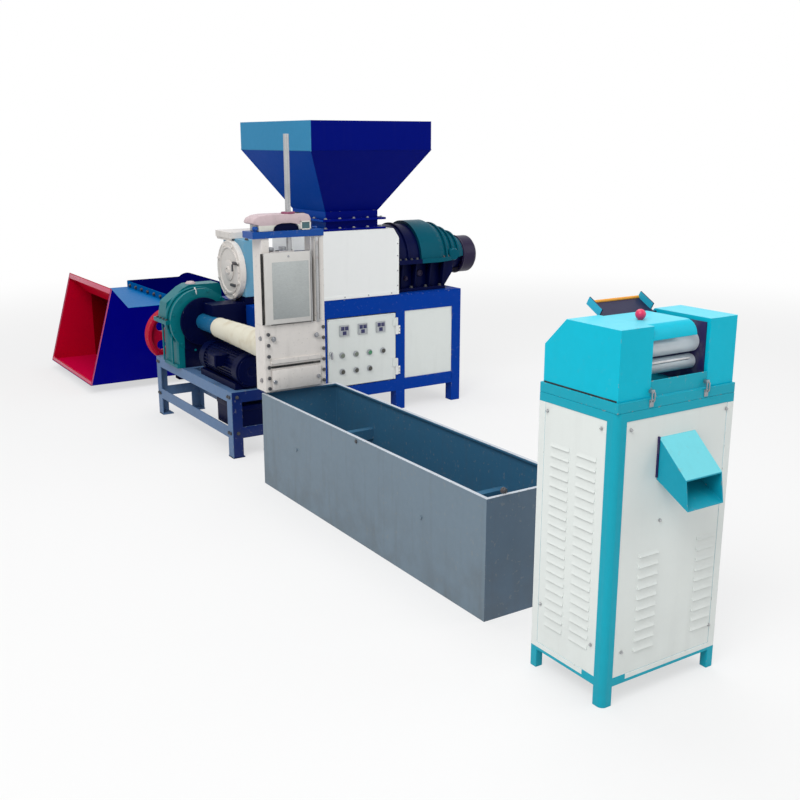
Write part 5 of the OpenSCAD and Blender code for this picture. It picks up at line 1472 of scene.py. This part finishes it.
@dataclass
class ScreenChanger:
    """The screen changer over the tank's far end, with its lifting screw."""

    face_bolt: Bolt = Bolt(18.0, 8.0, 0.0)
    thread_pitch: float = 7.0

    def dress(self) -> None:
        """Paints the changer."""
        dress("changer_block", Palette.cream, 2.0)
        dress("changer_columns", Palette.cream, 2.0)
        dress("changer_crossbar", Palette.bar_blue, 4.0)
        dress("slide_plate", Palette.slide, 1.2)
        dress("lift_screw", Palette.ground, 0.8)

    def build(self) -> None:
        """Models the fittings of each part."""
        lo, hi = box_mm("changer_block")
        y = lo.y
        dark = [(lo.x + 17, y, z) for z in (827, 769, 710, 652, 594, 538)]
        dark += [(hi.x - 15, y, z) for z in (838, 780, 721, 663, 604, 546)]
        self.face_bolt.fit("changer_face_bolts", dark, Facing.NEAR, Palette.black_bolt)
        grey = [(lo.x + 48, y, 800), (hi.x - 56, y, 798), (lo.x + 48, y, 572), (hi.x - 50, y, 574)]
        Bolt(20, 8, 14).fit("changer_inner_bolts", grey, Facing.NEAR, Palette.zinc)
        sides = [(lo.x, y + 54, z) for z in (800, 575)]
        Bolt(18, 8, 13).fit("changer_side_bolts", sides, Facing.LEFT, Palette.zinc)
        Bolt(18, 8, 13).fit("changer_side_bolts_right", [(hi.x, y + 54, z) for z in (800, 575)], Facing.RIGHT, Palette.zinc)
        self._face(lo, hi)
        self._slide()
        self._housing()
        self._lift()

    def _face(self, lo: Vector, hi: Vector) -> None:
        """Models the front plates, the die slot and the column guides."""
        y = lo.y
        plates = [
            BENCH.block("ridge", (lo.x + 34, y - 2.5, 526), (hi.x - 34, y + 1, 634), 1.5),
        ]
        columns_lo, columns_hi = box_mm("changer_columns")
        finish_piece(BENCH.join("changer_face_plates", plates), Palette.cream)
        base, top = columns_lo.z - 2, columns_hi.z - 4
        guides = [
            BENCH.block("guide", (272, y - 2.5, base), (281, y + 1, top), 1.2),
            BENCH.block("guide", (hi.x - 53, y - 2.5, base), (hi.x - 36, y + 1, top), 1.2),
        ]
        finish_piece(BENCH.join("changer_column_guides", guides), Palette.slide)
        slot = [
            BENCH.block("slot", (lo.x + 33, y + 4.6, 643.6), (hi.x - 33, y + 7, 654.4), 0),
            BENCH.block("slot", (-13, y - 1.2, 878), (1, y + 1, 1246), 0.6),
            BENCH.block("slot", (hi.x - 36, y - 1.2, base + 12), (hi.x - 33, y + 1, top), 0.6),
        ]
        finish_piece(BENCH.join("changer_slots", slot), Palette.void)
        heaters = [
            BENCH.turned("heater", (lo.x + 60 + n * 78, hi.y, 600), Facing.FAR, [(14, -1), (14, 6), (9, 7), (9, 34), (7, 36)], 20) for n in range(4)
        ]
        finish_piece(BENCH.join("changer_heaters", heaters), Palette.zinc, smooth=28)

    def _slide(self) -> None:
        """Models the plain recessed plate, the lifting bracket and its bolts on the slide."""
        lo, hi = box_mm("slide_plate")
        block_lo, _ = box_mm("changer_block")
        front, top = block_lo.y - 3.5, 1249.0
        sheet = [
            BENCH.block("sheet", (2, front - 9, 880), (266, front, top), 1.6),
            BENCH.block("packer", (lo.x + 6, front - 1, 890), (262, lo.y + 1, top - 8), 0.5),
        ]
        finish_piece(BENCH.join("slide_front_sheet", sheet), Palette.sheet, "slide")
        plate = BENCH.block("slide_plain_plate", (45, front - 10.2, 905), (256, front - 8, 1200), 0.9)
        finish_piece(plate, Palette.plain_plate, "slide")
        mid, deep = 132.0, (lo.y + hi.y) / 2
        bracket = BENCH.block("slide_bracket", (lo.x + 8, lo.y + 2, hi.z - 1), (mid + 62, hi.y - 2, hi.z + 4), 1.5)
        finish_piece(bracket, Palette.cream, "slide", 24)
        bolts = [(x, deep, hi.z + 4) for x in (lo.x + 22, mid - 28, mid + 50)]
        Bolt(18, 4.5, 0).fit("slide_bracket_bolts", bolts, Facing.UP, Palette.black_bolt, "slide")
        Bolt(10, 3.5, 0).fit("slide_screws", [(mid + 8, front - 9, 1228)], Facing.NEAR, Palette.zinc, "slide")

    def _housing(self) -> None:
        """Replaces the lift's housing by a casting with an arch, a side box and a bore for the screw."""
        lo, hi = box_mm("lift_housing")
        screw_lo, screw_hi = box_mm("lift_screw")
        x, y, radius = (screw_lo.x + screw_hi.x) / 2, (screw_lo.y + screw_hi.y) / 2, (screw_hi.x - screw_lo.x) / 2
        foot, top = lo.z, hi.z
        outline = [
            (-10, foot), (70, foot), (76, foot + 20), (92, foot + 32), (120, foot + 38), (172, foot + 38),
            (204, foot + 32), (217, foot + 20), (223, foot), (hi.x, foot), (hi.x, top - 26), (hi.x - 10, top - 8),
            (hi.x - 34, top), (34, top), (-6, top - 5), (-34, top - 18), (lo.x, top - 34), (lo.x, foot + 42), (-30, foot + 36), (-10, foot + 34),
        ]
        casting = BENCH.prism("lift_casting", outline, "XZ", lo.y, hi.y, 5)
        bore = BENCH.turned("bore", (x, y, foot - 20), Facing.UP, [(radius + 4, 0), (radius + 4, 140)], 40)
        BENCH.apply(casting, "BOOLEAN", operation="DIFFERENCE", solver="EXACT", object=bore)
        bpy.data.objects.remove(bore)
        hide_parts("lift_housing")
        finish_piece(casting, Palette.pink, smooth=32)
        recess = BENCH.block("lift_recess", (72, lo.y + 14, foot + 0.5), (221, lo.y + 18, foot + 42), 0)
        finish_piece(recess, Palette.navy)
        frame = [
            BENCH.block("box", (224, lo.y - 7, foot + 1), (283, lo.y + 2, foot + 7), 1.0),
            BENCH.block("box", (224, lo.y - 7, foot + 40), (283, lo.y + 2, foot + 46), 1.0),
            BENCH.block("box", (224, lo.y - 7, foot + 1), (231, lo.y + 2, foot + 46), 1.0),
            BENCH.block("box", (276, lo.y - 7, foot + 1), (283, lo.y + 2, foot + 46), 1.0),
        ]
        finish_piece(BENCH.join("lift_side_box", frame), Palette.cream)
        window = BENCH.block("lift_side_window", (230, lo.y - 3, foot + 6), (277, lo.y + 1, foot + 41), 0)
        finish_piece(window, Palette.murky)
        slots = [
            BENCH.block("slot", (186, lo.y + 62, top - 1), (252, lo.y + 76, top + 3), 2),
            BENCH.block("slot", (214, lo.y + 20, top - 1), (262, lo.y + 34, top + 3), 2),
        ]
        finish_piece(BENCH.join("lift_top_slots", slots), Palette.void)

    def _lift(self) -> None:
        """Models the screw's thread, the nut and the crossbar's knob and bolt."""
        screw_lo, screw_hi = box_mm("lift_screw")
        x, y = (screw_lo.x + screw_hi.x) / 2, (screw_lo.y + screw_hi.y) / 2
        radius = (screw_hi.x - screw_lo.x) / 2
        _, house_hi = box_mm("lift_housing")
        bar_lo, bar_hi = box_mm("changer_crossbar")
        rib = [(radius - 2.6, 0), (radius + 0.9, 2.2), (radius + 0.9, 3.4), (radius - 2.6, 5.6)]
        home = Matrix.Translation(-at(0, 0, 0))
        start = screw_lo.z + 130
        pattern = BENCH.turned("thread", (0, 0, 0), Facing.UP, rib, 18)
        count = int((screw_hi.z - 8 - start) / self.thread_pitch)
        moves = [Matrix.Translation(at(x, y, start + n * self.thread_pitch)) @ home for n in range(count)]
        finish_piece(BENCH.copies(pattern, "lift_screw_thread", moves), Palette.ground, "slide", 0)
        nut = BENCH.tube("lift_nut", (x, y, house_hi.z - 1), Facing.UP, 36, 10, 20, 40, 2.0)
        finish_piece(nut, Palette.boss, smooth=24)
        knob = BENCH.turned("crossbar_knob", (-26, bar_lo.y + 20, bar_hi.z - 1), Facing.UP, [(9, 0), (9, 7), (15, 11), (16, 20), (11, 28)], 24)
        bolt = BENCH.turned("crossbar_bolt", (bar_hi.x - 22, (bar_lo.y + bar_hi.y) / 2, bar_hi.z - 1), Facing.UP, [(15, 0), (15, 10), (12, 12)], 6)
        finish_piece(BENCH.join("crossbar_fittings", [knob, bolt]), Palette.bar_blue, smooth=30)


@dataclass
class PelletCutter:
    """The cutter: its louvred cabinet, hood, feed rollers and feed lid."""

    def dress(self) -> None:
        """Paints the cutter."""
        dress("cutter_cabinet", Palette.cabinet, 2.0)
        dress("cutter_panels", Palette.panel, 0.6)
        dress("cutter_base_plate", Palette.turquoise, 3.0)
        for node in ("hood_left", "hood_right"):
            dress(node, Palette.cyan, 5.0, 3)
        dress("hood_cover", Palette.cyan, 2.0)
        for node in ("upper_feed_roller", "lower_feed_roller"):
            dress(node, Palette.roller, 1.5)
        dress("feed_lid", Palette.lid, 1.0)
        dress("lid_knob", Palette.knob, 1.0)
        dress("discharge_chute", Palette.chute, 1.0)

    def build(self) -> None:
        """Models the fittings of each part."""
        self._cabinet()
        self._hood()
        self._lid()
        self._chute()

    def _cabinet(self) -> None:
        """Fits the panels' screws and the back door's handle."""
        lo, hi = box_mm("cutter_cabinet")
        screw = Bolt(8.0, 4.0, 6.0)
        screw.fit("cutter_screws_near", [(6, lo.y + 1, 943), (440, lo.y + 1, 950), (20, lo.y + 1, 185), (440, lo.y + 1, 169), (160, lo.y + 1, 616)], Facing.NEAR, Palette.ground)
        screw.fit("cutter_screws_left", [(lo.x + 1, -640, 943), (lo.x + 1, -640, 206), (lo.x + 1, -387, 943), (lo.x + 1, -387, 249)], Facing.LEFT, Palette.ground)
        screw.fit("cutter_screws_right", [(hi.x - 2, y, z) for y in (-640, -392) for z in (945, 540, 130)], Facing.RIGHT, Palette.zinc)
        screw.fit("cutter_screws_far", [(x, hi.y - 2, z) for x in (-10, 430) for z in (945, 640, 130)], Facing.FAR, Palette.zinc)
        handle = BENCH.bent_rod("cutter_back_handle", (380, hi.y - 3, 760), 6, [(380, hi.y + 22, 760), (380, hi.y + 28, 754), (380, hi.y + 28, 666), (380, hi.y + 22, 660), (380, hi.y - 3, 660)])
        finish_piece(handle, Palette.zinc)

    def _hood(self) -> None:
        """Models the scraper blades, a dark block of painted shade at the window's end, a dark strip of painted shadow
        under the left block, the toggle latches and the back screws.
        """
        left_lo, left_hi = box_mm("hood_left")
        right_lo, _ = box_mm("hood_right")
        upper_lo, upper_hi = box_mm("upper_feed_roller")
        _, lower_hi = box_mm("lower_feed_roller")
        base_lo, _ = box_mm("cutter_base_plate")
        base_top = left_lo.z
        x0, x1 = left_hi.x + 1, right_lo.x - 1
        top, front = left_hi.z - 8, left_lo.y
        span = (x0, x1 - 62)
        mid = (upper_lo.y + upper_hi.y) / 2
        blades = [
            BENCH.prism("blade", [(mid - 52, lower_hi.z - 2), (mid - 40, lower_hi.z - 8), (mid - 36, lower_hi.z - 3), (mid - 50, lower_hi.z + 4)], "YZ", span[0] + 4, span[1] - 2, 0.6),
            BENCH.prism("blade", [(mid + 40, upper_lo.z + 4), (mid + 78, upper_lo.z + 20), (mid + 76, upper_lo.z + 26), (mid + 38, upper_lo.z + 10)], "YZ", span[0] + 4, span[1] - 2, 0.6),
        ]
        finish_piece(BENCH.join("roller_blades", blades), Palette.ground)
        latches = []
        for x in (left_hi.x - 3, right_lo.x - 10):
            y = base_lo.y
            latches += [
                BENCH.block("plate", (x - 9, y - 3, 1006), (x + 9, y + 1, 1030), 1.5),
                BENCH.bent_rod("loop", (x - 6, y - 4, 1022), 2.6, [(x - 6, y - 8, 1028), (x - 6, y - 8, 1052), (x, y - 8, 1057), (x + 6, y - 8, 1052), (x + 6, y - 8, 1028), (x + 6, y - 4, 1022)], 8),
                BENCH.block("hook", (x - 7, y - 8, 1050), (x + 7, y + 8, 1062), 2.5),
            ]
        finish_piece(BENCH.join("hood_latches", latches), Palette.zinc)
        # Painted shade: a dark block fills the window's end, where the rollers leave a shaded void.
        dark = BENCH.block("hood_inner_wall", (span[1] + 56, front + 14, base_top + 6), (x1 + 0.4, left_hi.y - 30, top - 6), 1.0)
        finish_piece(dark, Palette.inner_wall)
        # Painted shadow: a dark strip under the hood's left block stands for the shadow gap over the base plate.
        painted_shadow_gap = BENCH.block("hood_seal", (left_lo.x - 2, front + 4, base_top - 1), (left_hi.x - 8, left_hi.y - 4, base_top + 5), 1.0)
        finish_piece(painted_shadow_gap, Palette.void)
        screws = [(x, left_hi.y, z) for x in (left_lo.x + 30, left_hi.x - 30, right_lo.x + 30, right_lo.x + 96) for z in (base_top + 24, base_top + 100)]
        Bolt(9, 3.5, 7).fit("hood_screws_far", screws, Facing.FAR, Palette.zinc)

    def _lid(self) -> None:
        """Models the lid's coloured edge strip."""
        lo, hi = box_mm("feed_lid")
        left_hi = box_mm("hood_left")[1]
        right_lo = box_mm("hood_right")[0]
        rise = math.radians(29)
        hinge_y, hinge_z = -459.0, left_hi.z - 12
        along, lift = Vector((0, math.cos(rise), math.sin(rise))), Vector((0, -math.sin(rise), math.cos(rise)))

        def on_lid(x: float, out: float, up: float) -> Point:
            """A place on the raised lid."""
            spot = Vector((x, hinge_y, hinge_z)) + along * out + lift * up
            return (spot.x, spot.y, spot.z)

        x0, x1 = left_hi.x + 14, right_lo.x - 14
        strip = BENCH.bent_rod("lid_edge_strip", on_lid(x0, 82, 3), 6, [on_lid(x1, 82, 3)], 12)
        finish_piece(strip, Palette.hazard, "lid")

    def _chute(self) -> None:
        """Models the chute's dark joint with the panel."""
        lo, hi = box_mm("discharge_chute")
        seam = BENCH.block("chute_seam", (lo.x - 6, hi.y - 6, hi.z - 132), (lo.x + 1, hi.y + 1, hi.z + 3), 1.0)
        finish_piece(seam, Palette.inner_wall)


@dataclass
class FeedCrusher:
    """The feed crusher behind the second extruder, with its wide red mouth."""

    def dress(self) -> None:
        """Paints the crusher."""
        dress("crusher_mouth", Palette.crusher, 1.5)
        dress("crusher_liner", Palette.void, 1.0)
        dress("crusher_body", Palette.rotor, 6.0, 3)

    def build(self) -> None:
        """Models the mouth's rim strips, the casing's flange bolts, the end cover and the blades."""
        lo, hi = box_mm("crusher_mouth")
        body_lo, body_hi = box_mm("crusher_body")
        lip_x, lip_z, low_x, low_z = -10.0, hi.z, lo.x, lo.z
        lean = (lip_x - low_x) / (lip_z - low_z)

        def strip(low: float, high: float) -> bpy.types.Object:
            """A strip of trim in the mouth's plane, between two heights."""
            a, b = low_x + (low - low_z) * lean + 0.4, low_x + (high - low_z) * lean + 0.4
            return BENCH.prism("rim", [(a, low), (b, high), (b + 7, high), (a + 7, low)], "XZ", lo.y + 1, hi.y - 1, 1.0)

        rims = [strip(low_z + 1, low_z + 26), strip(lip_z - 40, lip_z - 4)]
        edge = [(low_x + 0.5, low_z + 1), (lip_x + 0.5, lip_z - 4), (lip_x + 8, lip_z - 4), (low_x + 8, low_z + 1)]
        for y0, y1 in ((lo.y - 0.4, lo.y + 8.4), (hi.y - 8.4, hi.y - 0.4)):
            rims.append(BENCH.prism("rim", edge, "XZ", y0, y1, 1.0))
        finish_piece(BENCH.join("crusher_mouth_rim", rims), Palette.rim_pink)
        bolts = [(body_lo.x, lo.y + 126 + n * 145, 632) for n in range(7)]
        Bolt(22, 12, 15).fit("crusher_flange_bolts", bolts, Facing.LEFT, Palette.black_bolt)
        cover = BENCH.turned("crusher_end_cover", (body_hi.x - 100, lo.y, body_hi.z - 100), Facing.NEAR, [(84, -2), (84, 6), (78, 9), (34, 9), (32, 14), (20, 16)], 48)
        finish_piece(cover, Palette.rotor, smooth=28)
        pattern = BENCH.prism("tooth", [(0, 0), (26, 0), (13, 30)], "XZ", -9, 9, 1.2)
        home = Matrix.Translation(-at(0, 0, 0))
        moves = [
            Matrix.Translation(at(400, lo.y + 60 + n * 88, 190 + (n % 3) * 120)) @ Matrix.Rotation(math.radians(-90), 4, "Y") @ home
            for n in range(12)
        ]
        finish_piece(BENCH.copies(pattern, "crusher_teeth", moves), Palette.barrel)


class Studio:
    """The plain pale floor, the soft lights and the camera of the photograph."""

    camera_place = (-2217.0, -2840.0, 1810.0)
    yaw = 32.80
    pitch = 14.41
    lens = 45.63

    def camera(self) -> None:
        """Sets the camera where the photograph was taken from."""
        data = bpy.data.cameras.new("photo_camera")
        data.lens, data.sensor_width, data.clip_end = self.lens, 36.0, 200.0
        camera = bpy.data.objects.new("photo_camera", data)
        bpy.context.scene.collection.objects.link(camera)
        camera.location = at(*self.camera_place)
        camera.rotation_euler = (math.radians(90 - self.pitch), 0.0, math.radians(-self.yaw))
        bpy.context.scene.camera = camera

    def floor(self) -> None:
        """Lays the pale floor, which keeps the line's shadow near it and is white further off."""
        BENCH.clear()
        bpy.ops.mesh.primitive_plane_add(size=140.0, location=(0, 0, 0))
        ground = bpy.context.object
        ground.name = "studio_floor"

        def surface(graph: Graph) -> Signal:
            """A pale floor that the camera sees as nearly white."""
            rays = [graph.node("ShaderNodeLightPath", output=name) for name in ("Is Camera Ray", "Is Glossy Ray", "Is Transmission Ray")]
            visible = graph.node("ShaderNodeMath", {"operation": "MAXIMUM"}, {0: rays[0], 1: rays[1]})
            visible = graph.node("ShaderNodeMath", {"operation": "MAXIMUM"}, {0: visible, 1: rays[2]})
            distance = graph.node("ShaderNodeVectorMath", {"operation": "LENGTH"}, {0: graph.place()}, "Value")
            far = distance.ramp(3.6, 9.0)
            matte = graph.node("ShaderNodeBsdfDiffuse", {}, {"Color": srgb(232, 232, 232)})
            glow = graph.node("ShaderNodeEmission", {}, {"Color": (1, 1, 1, 1), "Strength": 1.0})
            return graph.node("ShaderNodeMixShader", {}, {0: visible * (0.62 + 0.38 * far), 1: matte, 2: glow})

        ground.data.materials.append(material_named("studio_floor", surface))

    def world(self) -> None:
        """Fills the room with soft light, and shows white behind everything."""
        room = bpy.data.worlds.new("studio_room")
        room.use_nodes = True
        bpy.context.scene.world = room
        graph = Graph(room.node_tree)
        rays = [graph.node("ShaderNodeLightPath", output=name) for name in ("Is Camera Ray", "Is Glossy Ray", "Is Transmission Ray")]
        shown = graph.node("ShaderNodeMath", {"operation": "MAXIMUM"}, {0: rays[0], 1: rays[2]})
        shown = graph.node("ShaderNodeMath", {"operation": "MAXIMUM"}, {0: shown, 1: rays[1]})
        strength = 0.42 + 0.58 * shown
        light = graph.node("ShaderNodeBackground", {}, {"Color": (1, 1, 1, 1), "Strength": strength})
        graph.node("ShaderNodeOutputWorld", {}, {"Surface": light})

    def lamps(self) -> None:
        """Hangs the soft boxes."""
        lo, hi = (Vector(corner) for corner in CAD_BOX)
        middle = (lo + hi) / 2
        for name, place, power, size in (
            ("key", (-6.0, -5.0, 6.5), 520.0, 5.0),
            ("fill", (5.5, -6.5, 4.0), 130.0, 6.0),
            ("top", (0.5, 1.5, 7.5), 260.0, 6.0),
        ):
            data = bpy.data.lights.new("studio_" + name, "AREA")
            data.energy, data.size = power, size
            lamp = bpy.data.objects.new("studio_" + name, data)
            bpy.context.scene.collection.objects.link(lamp)
            lamp.location = middle + Vector(place)
            lamp.rotation_euler = (middle - lamp.location).to_track_quat("-Z", "Y").to_euler()

    def build(self) -> None:
        """Sets up the whole studio."""
        bpy.context.scene.view_settings.view_transform = "Standard"
        self.camera()
        self.floor()
        self.world()
        self.lamps()


def main() -> None:
    """Builds the studio and every sub-assembly."""
    logging.basicConfig(level=logging.INFO, format="%(name)s: %(message)s")
    Studio().build()
    for assembly in (
        WaterTank(), MainStand(), MainExtruder(), SecondExtruder(), ScreenChanger(), PelletCutter(), FeedCrusher(),
    ):
        assembly.dress()
        assembly.build()


if __name__ == "__main__":
    main()
